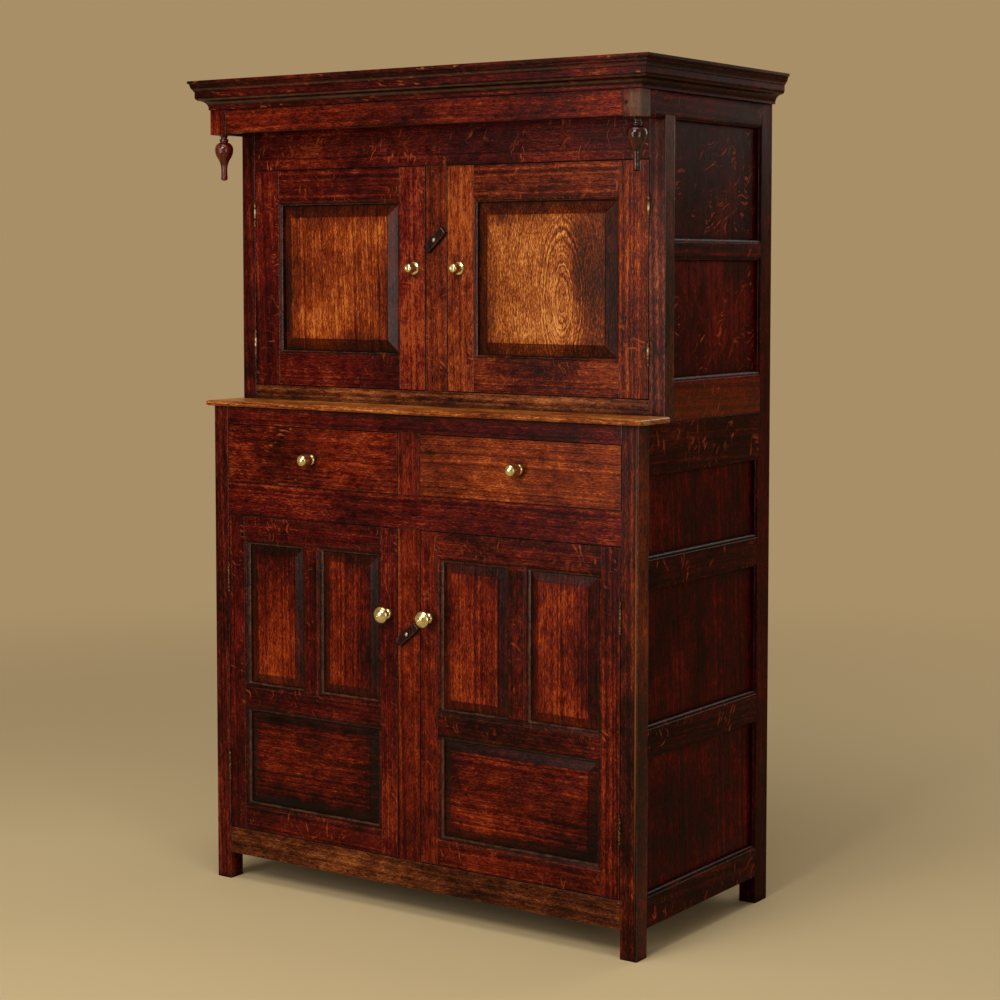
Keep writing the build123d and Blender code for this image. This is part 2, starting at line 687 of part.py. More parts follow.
def hang_door(name, hand, u0, u1, v0, v1, face_y, lower):
    """Two butt hinges in the hanging edge and a knob on the closing stile."""
    toward_door = 1 if hand == "left" else -1
    axis_x = (u0 if hand == "left" else u1) - toward_door * door_gap / 2
    stage = "lower" if lower else "upper"
    high = lower_hinge_high if lower else upper_hinge_high
    inset = lower_hinge_inset if lower else upper_hinge_inset
    post = f"{stage}_post_front_{hand}/1"
    for end, middle in (("low", v0 + inset), ("high", v1 - inset)):
        site = Pos(axis_x, face_y - axis_proud, middle - high / 2)
        fixed, moving, pin, pocket = hinge(high)
        if toward_door < 0:
            fixed, moving, pocket = (part.mirror(Plane.YZ) for part in (fixed, moving, pocket))
        timbers[f"hinge_fixed_leaves/{name}_{end}"] = site * fixed
        timbers[f"hinge_fixed_leaves/{name}_{end}_pin"] = site * pin
        timbers[f"{name}_hinge_leaves/{end}"] = site * moving
        cut_out[post].append(site * pocket)
        cut_out[f"{name}_frame/{hand}"].append(site * pocket)
    closing = "right" if hand == "left" else "left"
    knob_inset = lower_knob_inset[hand] if lower else upper_knob_inset
    knob_x = (u1 if hand == "left" else u0) - toward_door * knob_inset
    height = lower_knob_height if lower else lower_height + upper_knob_height
    shape = lower_knob() if lower else upper_knob()
    fit_knob(f"{name}_knob/1", f"{name}_frame/{closing}", knob_x, face_y, height, shape)


def hinge(high):
    """A butt hinge about the Z axis: the fixed leaf at -X, the moving leaf at +X, and its pocket."""
    def bar(radius, z0, z1):
        return Pos(0, 0, z0) * Cylinder(radius, z1 - z0, align=(Align.CENTER, Align.CENTER, Align.MIN))

    def plate(side, notches):
        xs = sorted((side * door_gap / 2, side * leaf))
        return block(*xs, 0, leaf_wide, 0, high, 0) - [block(*xs, 0, room, *notch, 0) for notch in notches]

    third = high / 3
    room = knuckle_radius + hinge_room
    leaf = door_gap / 2 + leaf_thick
    low = (0, third - knuckle_gap)
    middle = (third + knuckle_gap, 2 * third - knuckle_gap)
    top = (2 * third + knuckle_gap, high)
    fixed = plate(-1, [(third - knuckle_gap, 2 * third + knuckle_gap)])
    fixed = fixed + [bar(knuckle_radius, *low), bar(knuckle_radius, *top)] - bar(pin_radius, 0, high)
    moving = plate(1, [(0, third + knuckle_gap), (2 * third - knuckle_gap, high)])
    moving = moving + bar(knuckle_radius, *middle) - bar(pin_radius + pin_fit, *middle)
    pocket = block(-leaf, leaf, 0, leaf_wide, 0, high, 0) + bar(room, -hinge_room, high + hinge_room)
    return fixed, moving, bar(pin_radius, 0, high), pocket


def fit_knob(name, host, x, face_y, z, shape):
    """Turns a knob to face forwards and bores its host for the spigot."""
    site = Pos(x, face_y, z) * Rot(90, 0, 0)
    timbers[name] = site * shape
    hole = Cylinder(knob_spigot, knob_spigot_long + mortise_room, align=(Align.CENTER, Align.CENTER, Align.MAX))
    cut_out[host].append(site * hole)


def turned_knob(outline):
    """A knob along +Z, its rose at the origin: a spigot behind, then the outline from rose to axis."""
    spigot = Polyline(outline[-1] @ 1, (0, -knob_spigot_long), (knob_spigot, -knob_spigot_long),
                      (knob_spigot, 0), outline[0] @ 0)
    return revolve(Plane.XZ * make_face([spigot] + outline), Axis.Z)


def rose(radius, edge, bulge, stem):
    """The foot of a knob: an upright edge, then an arc over the bulge point to the foot of the neck."""
    return [Line((radius, 0), (radius, edge)), ThreePointArc((radius, edge), bulge, stem)]


def lower_knob():
    """A broad shallow mushroom on a round collar, with a small dimple in its face."""
    head = 19.8
    dimple = 3.0
    foot = rose(12.8, 3, (11.2, 7.2), (7, 9.5))
    neck = ThreePointArc((7, 9.5), (6.6, 14), (8.5, 20))
    under = ThreePointArc((8.5, 20), (15.5, 23.2), (head, 27))
    rim = Line((head, 27), (head, 28.5))
    face = ThreePointArc((head, 28.5), (13, 35.2), (dimple, lower_knob_reach))
    return turned_knob(foot + [neck, under, rim, face, cap(dimple, lower_knob_reach, -1)])


def upper_knob():
    """A short drum that tapers to its face, close in front of a flat rose, with a small dimple."""
    drum = 12.3
    rim = 10.3
    dimple = 2.0
    foot = rose(14.8, 1.8, (11.5, 3.6), (6.5, 4.6))
    neck = ThreePointArc((6.5, 4.6), (5.6, 6.8), (7, 9))
    under = ThreePointArc((7, 9), (10.6, 9.8), (drum, 12))
    side = Polyline((drum, 12), (drum - 0.2, 15), (rim, 24.3))
    face = ThreePointArc((rim, 24.3), (8.6, 26.3), (dimple, upper_knob_reach))
    return turned_knob(foot + [neck, under, side, face, cap(dimple, upper_knob_reach, -0.8)])


def drawer_knob():
    """A barrel head, fullest near its back, with a domed face, on a round collar."""
    head = 15.9
    rim = 12.3
    foot = rose(13.3, 3, (12, 6.6), (9, 9.3))
    neck = ThreePointArc((9, 9.3), (8.6, 10.4), (10, 11.5))
    under = ThreePointArc((10, 11.5), (14.2, 13.8), (head, 18.5))
    barrel = ThreePointArc((head, 18.5), (15.4, 29), (rim, drawer_knob_reach - 5.5))
    return turned_knob(foot + [neck, under, barrel, cap(rim, drawer_knob_reach - 5.5, 5.5)])


def doors():
    """A pair of doors on each stage, hung on the outer posts."""
    for stage, inner, muntin, v0, v1, face_y in (
            ("lower", half - lower_post_wide, lower_muntin, door_level, drawer_rail_level, front_y),
            ("upper", half - upper_post_wide, upper_muntin, upper_door_level, upper_door_top, upper_front_y)):
        spans = {"left": (-inner, middle_x - muntin / 2), "right": (middle_x + muntin / 2, inner)}
        for hand, (u0, u1) in spans.items():
            door(f"{stage}_door_{hand}", hand, u0 + door_gap, u1 - door_gap, v0 + door_gap_z,
                 v1 - door_gap_z, face_y, stage == "lower")


def drawer(hand, x0, x1):
    """A drawer on side runners: front, two sides, back over a grooved bottom, and a knob."""
    top = lower_height - lower_top_rail - drawer_gap
    foot = drawer_level + drawer_run
    box_top = top - drawer_side_drop
    x0, x1 = x0 + drawer_gap, x1 - drawer_gap
    back = back_y - back_inset - back_thick - rear_thick - drawer_back_room
    inside = (x0 + drawer_side, x1 - drawer_side)
    behind = front_y + drawer_thick
    floor = foot + 6.0
    floor_top = floor + drawer_bottom
    front, box = f"drawer_{hand}_front/1", f"drawer_{hand}_box"
    timbers[front] = block(x0, x1, front_y, behind, drawer_level + 1.0, top)
    timbers[f"{box}/left"] = block(x0, inside[0], behind, back, foot, box_top, 0)
    timbers[f"{box}/right"] = block(inside[1], x1, behind, back, foot, box_top, 0)
    timbers[f"{box}/back"] = block(*inside, back - drawer_side, back, floor_top, box_top, 0)
    bottom = block(inside[0] - drawer_groove, inside[1] + drawer_groove, behind - drawer_groove, back,
                   floor, floor_top, 0)
    timbers[f"{box}/bottom"] = bottom
    for name in (front, f"{box}/left", f"{box}/right"):
        cut_out[name].append(bottom)
    right, up = drawer_knob_shift[hand]
    fit_knob(f"drawer_{hand}_knob/1", front, (x0 + x1) / 2 + right, front_y, (drawer_level + top) / 2 + up,
             drawer_knob())


def drawers():
    """Two drawers on three runners, kept straight by guides beside and between them."""
    inner = half - lower_post_wide
    d0, d1 = middle_x - lower_muntin / 2, middle_x + lower_muntin / 2
    drawer("left", -inner, d0)
    drawer("right", d1, inner)
    y0 = front_y + front_thick
    y1 = back_y - back_inset - back_thick - rear_thick
    runner = (drawer_level - runner_thick, drawer_level)
    guide = (drawer_level, drawer_level + guide_high)
    side = half - side_thick
    posts = (front_y + lower_post_deep, back_y - lower_rear_post_deep)
    add_row("drawer_runners", [block(-inner, -inner + runner_wide, y0, y1, *runner, 0),
                               block(d0 - runner_wide, d1 + runner_wide, y0, y1, *runner, 0),
                               block(inner - runner_wide, inner, y0, y1, *runner, 0),
                               block(-side, -inner, *posts, runner[0], guide[1], 0),
                               block(d0, d1, y0, y1, *guide, 0),
                               block(inner, side, *posts, runner[0], guide[1], 0)])


def turn_buttons():
    """A dark bar on each middle upright, turning on one screw."""
    for stage, face_y, z, tilt in (
            ("upper", upper_front_y, lower_height + upper_button_height, upper_button_tilt),
            ("lower", front_y, lower_button_height, lower_button_tilt)):
        site = Pos(middle_x, face_y, z) * Rot(90, 0, 0)
        plan = RectangleRounded(button_long, button_wide, button_corner)
        bar = extrude(plan, button_thick)
        bar = chamfer(bar.faces().sort_by(Axis.Z)[-1].edges(), 1.5)
        bar = bar - Cylinder(screw_radius + screw_fit, 4 * button_thick)
        timbers[f"{stage}_turn_button/1"] = site * (Pos(0, 0, button_clear) * Rot(0, 0, tilt) * bar)
        outer = button_clear + button_thick + 0.3
        dome = cap(screw_head, outer, 2.0)
        section = [Polyline(dome @ 1, (0, -screw_long), (screw_radius, -screw_long),
                            (screw_radius, 0), (screw_head, 0), (screw_head, button_clear - 0.3),
                            (screw_radius, button_clear - 0.3), (screw_radius, outer), dome @ 0), dome]
        timbers[f"turn_button_screws/{stage}"] = site * revolve(Plane.XZ * make_face(section), Axis.Z)
        hole = Cylinder(screw_radius, screw_long, align=(Align.CENTER, Align.CENTER, Align.MAX))
        cut_out[f"{stage}_muntin/1"].append(site * hole)


def write_nodes():
    """Finishes each timber and writes each node, a group of separate solids where it has several."""
    nodes = defaultdict(list)
    for name, solid in timbers.items():
        if worked_on[name]:
            solid = solid + worked_on[name]
        if cut_out[name]:
            solid = solid - cut_out[name]
        nodes[name.split("/")[0]] += solid.solids()
    for node, solids in nodes.items():
        shape = solids[0] if len(solids) == 1 else Compound(children=solids)
        export_step(shape, f"parts/{node}.step")
    print(len(nodes), "nodes,", sum(len(solids) for solids in nodes.values()), "solids")


lower_stage()
upper_stage()
frieze()
cornice()
waist_board()
doors()
drawers()
turn_buttons()
write_nodes()
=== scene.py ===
import math

import bpy
import numpy as np
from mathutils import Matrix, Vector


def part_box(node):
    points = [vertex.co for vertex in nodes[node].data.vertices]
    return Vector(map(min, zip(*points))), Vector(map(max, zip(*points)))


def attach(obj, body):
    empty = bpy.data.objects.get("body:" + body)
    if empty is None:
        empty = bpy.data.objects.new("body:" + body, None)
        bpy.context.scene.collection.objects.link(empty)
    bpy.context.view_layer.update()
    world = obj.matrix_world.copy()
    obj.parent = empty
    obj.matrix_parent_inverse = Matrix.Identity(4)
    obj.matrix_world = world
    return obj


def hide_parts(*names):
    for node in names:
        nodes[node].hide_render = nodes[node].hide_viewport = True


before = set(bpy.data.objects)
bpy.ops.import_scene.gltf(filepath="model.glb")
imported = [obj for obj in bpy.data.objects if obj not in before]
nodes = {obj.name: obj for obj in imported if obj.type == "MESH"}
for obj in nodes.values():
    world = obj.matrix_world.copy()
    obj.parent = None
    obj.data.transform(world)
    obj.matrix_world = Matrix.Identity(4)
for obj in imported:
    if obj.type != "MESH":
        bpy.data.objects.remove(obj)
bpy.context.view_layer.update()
scene = bpy.context.scene
mm = 1000.0                                   # millimetres in a metre
print("frame loaded:", len(nodes), "nodes")

# The camera, with its place in metres in front and to the right
view = {
    "place": (2.9804, -4.2361, 1.4871),
    "lens": 79.28,
    "sensor": 36,
    "turn": 34.74,                            # degrees to the left of straight back
    "down": 3.71,
    "shift": (0.0033, -0.0921),
    "farthest": 200,
}
lamps = {
    "front": {"place": (0.4, -3.3, 3.3), "size": (1.3, 1.4), "watts": 72, "tint": "#fff4e6"},
    "tall": {"place": (-0.9, -4.0, 1.45), "size": (1.3, 2.2), "watts": 46, "tint": "#fff8f0"},
    "side": {"place": (3.95, -2.25, 1.3), "size": (0.35, 2.4), "watts": 22, "tint": "#fff8f0"},
    "behind": {"place": (1.1, 3.7, 2.9), "size": (2.6, 2.2), "watts": 40, "tint": "#fff8f0"},
    "top": {"place": (0.4, -1.2, 4.2), "size": (2.2, 1.6), "watts": 40, "tint": "#fffaf2"},
}
lampAim = (0.0, 0.0, 1.0)                     # the lamps face the middle of the cupboard
stage = {
    "wall": "#a88f68",
    "air": "#b8ab98", "airStrength": 0.45,
    "floor": "#cdbb93", "rough": 0.9, "gloss": 0.2,
    "near": 1.3, "far": 5.0,                  # the floor turns into the wall between these
    "reach": 60.0,
}


def toLinear(hexText):
    # an sRGB hex value as linear red, green, blue and alpha
    parts = np.array([int(hexText[i:i + 2], 16) / 255 for i in (1, 3, 5)])
    linear = np.where(parts <= 0.04045, parts / 12.92, ((parts + 0.055) / 1.055) ** 2.4)
    return (*linear.tolist(), 1.0)


def put(tree, kind, wires=None, out=0, stops=None, **settings):
    # adds one node with its settings and links, and gives back one output, or the node if out is
    # None or it has no output
    made = tree.nodes.new(kind)
    for key, value in settings.items():
        setattr(made, key, value)
    for socket, value in (wires or {}).items():
        if isinstance(value, bpy.types.NodeSocket):
            tree.links.new(value, made.inputs[socket])
        else:
            made.inputs[socket].default_value = value
    if stops:
        ramp = made.color_ramp.elements
        while len(ramp) < len(stops):
            ramp.new(1.0)
        for element, (position, colour) in zip(ramp, stops):
            element.position = position
            element.color = toLinear(colour)
    return made if out is None or not made.outputs else made.outputs[out]


def newTree(name):
    # an empty material and its node tree
    material = bpy.data.materials.new(name)
    material.use_nodes = True
    material.node_tree.nodes.clear()
    return material, material.node_tree


def placeCamera():
    lens = bpy.data.cameras.new("camera")
    lens.lens = view["lens"]
    lens.sensor_width = view["sensor"]
    lens.shift_x, lens.shift_y = view["shift"]
    lens.clip_end = view["farthest"]
    eye = bpy.data.objects.new("camera", lens)
    eye.location = view["place"]
    eye.rotation_euler = (math.radians(90 - view["down"]), 0, math.radians(view["turn"]))
    scene.collection.objects.link(eye)
    scene.camera = eye


def placeLamps():
    for name, lamp in lamps.items():
        data = bpy.data.lights.new(name, "AREA")
        data.shape = "RECTANGLE"
        data.size, data.size_y = lamp["size"]
        data.energy = lamp["watts"]
        data.color = toLinear(lamp["tint"])[:3]
        box = bpy.data.objects.new(name, data)
        box.location = lamp["place"]
        away = np.array(lampAim) - np.array(lamp["place"])
        flat = math.hypot(away[0], away[1])
        box.rotation_euler = (math.atan2(flat, -away[2]), 0,
                              math.atan2(away[1], away[0]) - math.pi / 2)
        scene.collection.objects.link(box)


def looking(tree):
    # 1 for a ray that the eye, a polished surface or glass sends out
    path = put(tree, "ShaderNodeLightPath", out=None).outputs
    either = put(tree, "ShaderNodeMath", {0: path["Is Camera Ray"], 1: path["Is Glossy Ray"]},
                 operation="MAXIMUM")
    return put(tree, "ShaderNodeMath", {0: either, 1: path["Is Transmission Ray"]},
               operation="MAXIMUM")


def placeStage():
    world = bpy.data.worlds.new("studio")
    world.use_nodes = True
    tree = world.node_tree
    tree.nodes.clear()
    wall = put(tree, "ShaderNodeBackground", {"Color": toLinear(stage["wall"])})
    air = put(tree, "ShaderNodeBackground", {"Color": toLinear(stage["air"]),
                                             "Strength": stage["airStrength"]})
    shown = put(tree, "ShaderNodeMixShader", {0: looking(tree), 1: air, 2: wall})
    put(tree, "ShaderNodeOutputWorld", {"Surface": shown})
    scene.world = world

    reach = stage["reach"]
    corners = [(-reach, -reach, 0), (reach, -reach, 0), (reach, reach, 0), (-reach, reach, 0)]
    mesh = bpy.data.meshes.new("floor")
    mesh.from_pydata(corners, [], [(0, 1, 2, 3)])
    material, tree = newTree("paintedFloor")
    paint = put(tree, "ShaderNodeBsdfPrincipled", {
        "Base Color": toLinear(stage["floor"]), "Roughness": stage["rough"],
        "Specular IOR Level": stage["gloss"]})
    haze = put(tree, "ShaderNodeEmission", {"Color": toLinear(stage["wall"])})
    local = put(tree, "ShaderNodeTexCoord", out="Object")
    away = put(tree, "ShaderNodeVectorMath", {0: local}, out="Value", operation="LENGTH")
    faded = put(tree, "ShaderNodeMapRange", {
        "Value": away, "From Min": stage["near"], "From Max": stage["far"]},
        interpolation_type="SMOOTHSTEP")
    share = put(tree, "ShaderNodeMath", {0: faded, 1: looking(tree)}, operation="MULTIPLY")
    surface = put(tree, "ShaderNodeMixShader", {0: share, 1: paint, 2: haze})
    put(tree, "ShaderNodeOutputMaterial", {"Surface": surface})
    mesh.materials.append(material)
    floor = bpy.data.objects.new("floor", mesh)
    scene.collection.objects.link(floor)


scene.view_settings.view_transform = "Standard"
placeCamera()
placeLamps()
placeStage()
print("camera, lamps and floor placed")

# Sizes across, into and along the grain in millimetres. Real pores are 0.3 mm wide, and are drawn
# wider here so that they show at the distance of the camera.
grain = {
    "warp": (70, 70, 380),
    "streak": (2.4, 2.4, 16),
    "pore": (2.0, 2.0, 7),
    "mottle": (20, 20, 42),
    "blotch": (170, 170, 230),
    "ripple": (55, 55, 160),
    "dash": (9, 9, 22),
    "wiggle": (11, 11, 24),
    "rayCluster": (60, 60, 90),
}
# Where an effect starts and where it is full, in the value that drives it
onset = {
    "pit": (0.42, 0.31),                      # pore noise
    "rub": (0.46, 0.62),                      # dash noise
    "rough": (0.35, 0.65),                    # mottle noise
    "rayCluster": (0.47, 0.62),               # cluster noise
    "dirt": (0.90, 0.42),                     # how open a corner is
    "chamfer": (0.90, 0.78),                  # largest part of the normal
    "moulding": (0.992, 0.978),               # the same, on gentler slopes
}
wax = {
    # arris: the pale colour of rubbed wear and of a painted highlight on the arrises
    # corner: the colour of the dirt and painted shade in corners and gaps
    "arris": "#7a4a30", "sunk": "#94614a", "corner": "#070201",
    "reach": 0.020,                           # metres that the dirt and painted shade come out of a corner
    "samples": 5,
    "smooths": 0.4,                           # share of the least roughness that slopes lose
    "dulls": 0.4,                             # roughness that the dirt and painted shade of corners add
    "thin": 0.1,                              # share of the polish that gentle slopes take
}
oakShine = {"ior": 1.5, "coatRough": 0.2}
edgeRound = {"radius": 0.0016, "samples": 4}
toneStops = (0.10, 0.42, 0.72, 1.0)
reliefShares = (0.30, 0.35, 1.6)              # pores, streaks, ripples
# How far the grain jumps from seed to seed and from board to board, in millimetres, what a crossing
# member adds to the number of a board, and how much more each step adds than the one before
jumps = {"seed": (211.0, 97.0, 1310.0), "board": (431.0, 173.0, 1910.0), "turned": 0.37,
         "step": 0.61}
ringNoise = {"detail": 2.0, "rough": 0.6, "far": 0.3}   # far: share left away from the heart
# Rays: millimetres into the board, and how much of the noise lies between none and full strength
fleckShape = {"deep": 16, "edge": 0.09, "detail": 1.5, "rough": 0.5, "swirl": 0.5}
wornEdge = {"cloud": 1.3, "from": 0.65, "to": 1.65}     # in reaches of the wear
# The ragged edge of a spot, for stains and painted highlights alike: wide, long, from and to are in
# its half widths, deep in millimetres
stainEdge = {"wide": 1.5, "deep": 20, "long": 0.6, "uneven": 0.9, "from": 1.45, "to": 0.75}


def noiseAt(tree, place, size, detail=2.0, rough=0.55, swirl=0.0):
    # cloud noise whose blobs are as large as size, in the units of place
    scaled = put(tree, "ShaderNodeVectorMath", {0: place, 1: tuple(1 / s for s in size)},
                 operation="MULTIPLY")
    return put(tree, "ShaderNodeTexNoise", {
        "Vector": scaled, "Scale": 1.0, "Detail": detail, "Roughness": rough,
        "Distortion": swirl}, out="Fac")


def bentBy(tree, place, own, size, amount, detail):
    # a place moved by up to amount in each direction, by slow noise whose blobs are as large as size
    scaled = put(tree, "ShaderNodeVectorMath", {0: own, 1: tuple(1 / s for s in size)},
                 operation="MULTIPLY")
    bend = put(tree, "ShaderNodeTexNoise", {"Vector": scaled, "Scale": 1.0, "Detail": detail},
               out="Color")
    return put(tree, "ShaderNodeVectorMath", {0: bend, 1: (amount,) * 3, 2: place},
               operation="MULTIPLY_ADD")


def insideOf(tree, axis, box):
    # 1 inside a box given as ranges by axis, and 0 outside it
    cell = None
    for a, (low, high) in box.items():
        part = put(tree, "ShaderNodeMath", {0: axis[a], 1: (low + high) / 2, 2: (high - low) / 2},
                   operation="COMPARE")
        cell = part if cell is None else put(
            tree, "ShaderNodeMath", {0: cell, 1: part}, operation="MULTIPLY")
    return cell


def boardPlace(tree, look):
    # Across, into and along the grain in millimetres, for the board that a point belongs to, and how
    # much lighter that board is. A lay of "xyz" means that the face runs across in x and the grain
    # along z. Inside the boxes of look["turned"] the grain takes look["turnedLay"]. Past the limit of
    # a step begins another board: the steps of "plain" count outside those boxes and the steps of
    # "crossing" inside them.
    local = put(tree, "ShaderNodeTexCoord", out="Object")
    place = put(tree, "ShaderNodeVectorMath", {0: local, 1: (mm,) * 3}, operation="MULTIPLY")
    axis = dict(zip("xyz", put(tree, "ShaderNodeSeparateXYZ", {0: place}, out=None).outputs))
    laid = put(tree, "ShaderNodeCombineXYZ", {i: axis[a] for i, a in enumerate(look["lay"])})
    inside = outside = number = lift = None
    for box in look.get("turned", []):
        cell = insideOf(tree, axis, box)
        inside = cell if inside is None else put(
            tree, "ShaderNodeMath", {0: inside, 1: cell}, operation="MAXIMUM")
    if inside is not None:
        other = put(tree, "ShaderNodeCombineXYZ",
                    {i: axis[a] for i, a in enumerate(look["turnedLay"])})
        laid = put(tree, "ShaderNodeMix", {0: inside, 4: laid, 5: other}, out=1, data_type="VECTOR")
        outside = put(tree, "ShaderNodeMath", {0: 1.0, 1: inside}, operation="SUBTRACT")
        number = put(tree, "ShaderNodeMath", {0: inside, 1: jumps["turned"]}, operation="MULTIPLY")
        lift = put(tree, "ShaderNodeMath", {0: inside, 1: look.get("turnedLift", 0.0)},
                   operation="MULTIPLY")
    steps = [(step, None) for step in look.get("steps", [])]
    steps += [(step, outside) for step in look.get("plain", [])]
    steps += [(step, inside) for step in look.get("crossing", [])]
    for i, ((a, limit, lighter), share) in enumerate(steps):
        past = put(tree, "ShaderNodeMath", {0: axis[a], 1: limit}, operation="GREATER_THAN")
        if share is not None:
            past = put(tree, "ShaderNodeMath", {0: past, 1: share}, operation="MULTIPLY")
        number = put(tree, "ShaderNodeMath", {
            0: past, 1: 1.0 + jumps["step"] * i, 2: 0.0 if number is None else number},
            operation="MULTIPLY_ADD")
        lift = put(tree, "ShaderNodeMath", {0: past, 1: lighter, 2: 0.0 if lift is None else lift},
                   operation="MULTIPLY_ADD")
    seeded = tuple(jump * look["seed"] for jump in jumps["seed"])
    own = put(tree, "ShaderNodeVectorMath", {0: laid, 1: seeded})
    if number is not None:
        jump = put(tree, "ShaderNodeCombineXYZ", {0: number, 1: number, 2: number})
        own = put(tree, "ShaderNodeVectorMath", {0: jump, 1: jumps["board"], 2: own},
                  operation="MULTIPLY_ADD")
    return axis, laid, own, lift


def growthRings(tree, laid, own, look):
    # Distance from the tree's heart, which leans along the board: the square root of the sum of the
    # squares of the sideways distance and of depth plus lean times length, bent by slow noise.
    across, deep, along, lean = look["heart"]
    bent = bentBy(tree, laid, own, grain["warp"], look["bend"], 2.0)
    moved = put(tree, "ShaderNodeVectorMath", {0: bent, 1: (-across, -deep, -along)})
    split = put(tree, "ShaderNodeSeparateXYZ", {0: moved}, out=None)
    depth = put(tree, "ShaderNodeMath", {0: split.outputs[2], 1: lean, 2: split.outputs[1]},
                operation="MULTIPLY_ADD")
    flat = put(tree, "ShaderNodeCombineXYZ", {0: split.outputs[0], 1: depth})
    radius = put(tree, "ShaderNodeVectorMath", {0: flat}, out="Value", operation="LENGTH")
    wiggle = noiseAt(tree, own, grain["wiggle"], detail=1.0)
    uneven = put(tree, "ShaderNodeMath", {0: wiggle, 1: look["wiggle"], 2: radius},
                 operation="MULTIPLY_ADD")
    turn = put(tree, "ShaderNodeMath", {0: uneven, 1: 1 / look["ring"]}, operation="MULTIPLY")
    rings = put(tree, "ShaderNodeTexNoise", {
        "W": turn, "Scale": 1.0, "Detail": ringNoise["detail"], "Roughness": ringNoise["rough"]},
        out="Fac", noise_dimensions="1D")
    if "ringReach" not in look:
        return rings
    # the rings fade away from the heart
    low, high = look["ringReach"]
    share = put(tree, "ShaderNodeMapRange", {"Value": radius, "From Min": low, "From Max": high,
                                             "To Min": 1.0, "To Max": ringNoise["far"]})
    return put(tree, "ShaderNodeMix", {0: share, 2: 0.5, 3: rings}, out=0)


def rayFlecks(tree, axis, own, facts):
    # Medullary rays cut lengthwise: short curling ribbons that lie askew to the grain, in loose
    # clusters.
    curled = bentBy(tree, own, own, (facts["curlSize"],) * 3, facts["curl"], 1.0)
    slant = put(tree, "ShaderNodeVectorRotate", {"Vector": curled, "Axis": (0, 1, 0),
                                                 "Angle": math.radians(facts["slant"])})
    ribbon = noiseAt(tree, slant, (facts["long"], fleckShape["deep"], facts["wide"]),
                     fleckShape["detail"], fleckShape["rough"], fleckShape["swirl"])
    cluster = noiseAt(tree, own, grain["rayCluster"], detail=1.0)
    sharp = put(tree, "ShaderNodeMapRange", {"Value": ribbon, "From Min": facts["from"],
                                             "From Max": facts["from"] + fleckShape["edge"]})
    low, high = onset["rayCluster"]
    gathered = put(tree, "ShaderNodeMapRange", {"Value": cluster, "From Min": low, "From Max": high})
    strength = put(tree, "ShaderNodeMath", {0: sharp, 1: gathered}, operation="MULTIPLY")
    if "only" in facts:
        strength = put(tree, "ShaderNodeMath", {0: strength, 1: insideOf(tree, axis, facts["only"])},
                       operation="MULTIPLY")
    return put(tree, "ShaderNodeMath", {0: strength, 1: facts["amount"]}, operation="MULTIPLY")


def wornMiddle(tree, axis, cloud, worn):
    # Half the width less the distance from the middle, the smaller of both directions, over the reach
    # of the wear, with cloud noise added: 0 by the edges of a field and 1 where hands have rubbed it.
    deepest = None
    for field in worn["fields"]:
        nearest = None
        for a, (low, high) in field.items():
            off = put(tree, "ShaderNodeMath", {0: axis[a], 1: (low + high) / 2}, operation="SUBTRACT")
            off = put(tree, "ShaderNodeMath", {0: off}, operation="ABSOLUTE")
            room = put(tree, "ShaderNodeMath", {0: (high - low) / 2, 1: off}, operation="SUBTRACT")
            nearest = room if nearest is None else put(
                tree, "ShaderNodeMath", {0: nearest, 1: room}, operation="MINIMUM")
        deepest = nearest if deepest is None else put(
            tree, "ShaderNodeMath", {0: deepest, 1: nearest}, operation="MAXIMUM")
    uneven = put(tree, "ShaderNodeMath", {0: cloud, 1: wornEdge["cloud"] * worn["reach"], 2: deepest},
                 operation="MULTIPLY_ADD")
    return put(tree, "ShaderNodeMapRange", {
        "Value": uneven, "From Min": wornEdge["from"] * worn["reach"],
        "From Max": wornEdge["to"] * worn["reach"]}, interpolation_type="SMOOTHSTEP")


def stain(tree, laid, colour, mark):
    # A dark or pale spot, used for stains and painted highlights alike, by the distance from its
    # middle measured in its own half widths.
    across, along, halfWide, halfLong, shade, strength = mark
    offset = put(tree, "ShaderNodeVectorMath", {0: laid, 1: (-across, 0, -along)})
    scaled = put(tree, "ShaderNodeVectorMath", {0: offset, 1: (1 / halfWide, 0, 1 / halfLong)},
                 operation="MULTIPLY")
    away = put(tree, "ShaderNodeVectorMath", {0: scaled}, out="Value", operation="LENGTH")
    uneven = noiseAt(tree, laid, (halfWide * stainEdge["wide"], stainEdge["deep"],
                                  halfLong * stainEdge["long"]), detail=3.0)
    edge = put(tree, "ShaderNodeMath", {0: uneven, 1: stainEdge["uneven"], 2: away},
               operation="MULTIPLY_ADD")
    share = put(tree, "ShaderNodeMapRange", {
        "Value": edge, "From Min": stainEdge["from"], "From Max": stainEdge["to"],
        "To Max": strength})
    return put(tree, "ShaderNodeMix", {0: share, 6: colour, 7: toLinear(shade)}, out=2,
               data_type="RGBA")


def slantOf(tree):
    # 0 on a face square to the part, rising on chamfers and rounds, and sooner on gentle slopes
    normal = put(tree, "ShaderNodeTexCoord", out="Normal")
    size = put(tree, "ShaderNodeVectorMath", {0: normal}, operation="ABSOLUTE")
    split = put(tree, "ShaderNodeSeparateXYZ", {0: size}, out=None)
    most = put(tree, "ShaderNodeMath", {0: split.outputs[0], 1: split.outputs[1]},
               operation="MAXIMUM")
    most = put(tree, "ShaderNodeMath", {0: most, 1: split.outputs[2]}, operation="MAXIMUM")
    return [put(tree, "ShaderNodeMapRange", {"Value": most, "From Min": low, "From Max": high})
            for low, high in (onset["chamfer"], onset["moulding"])]


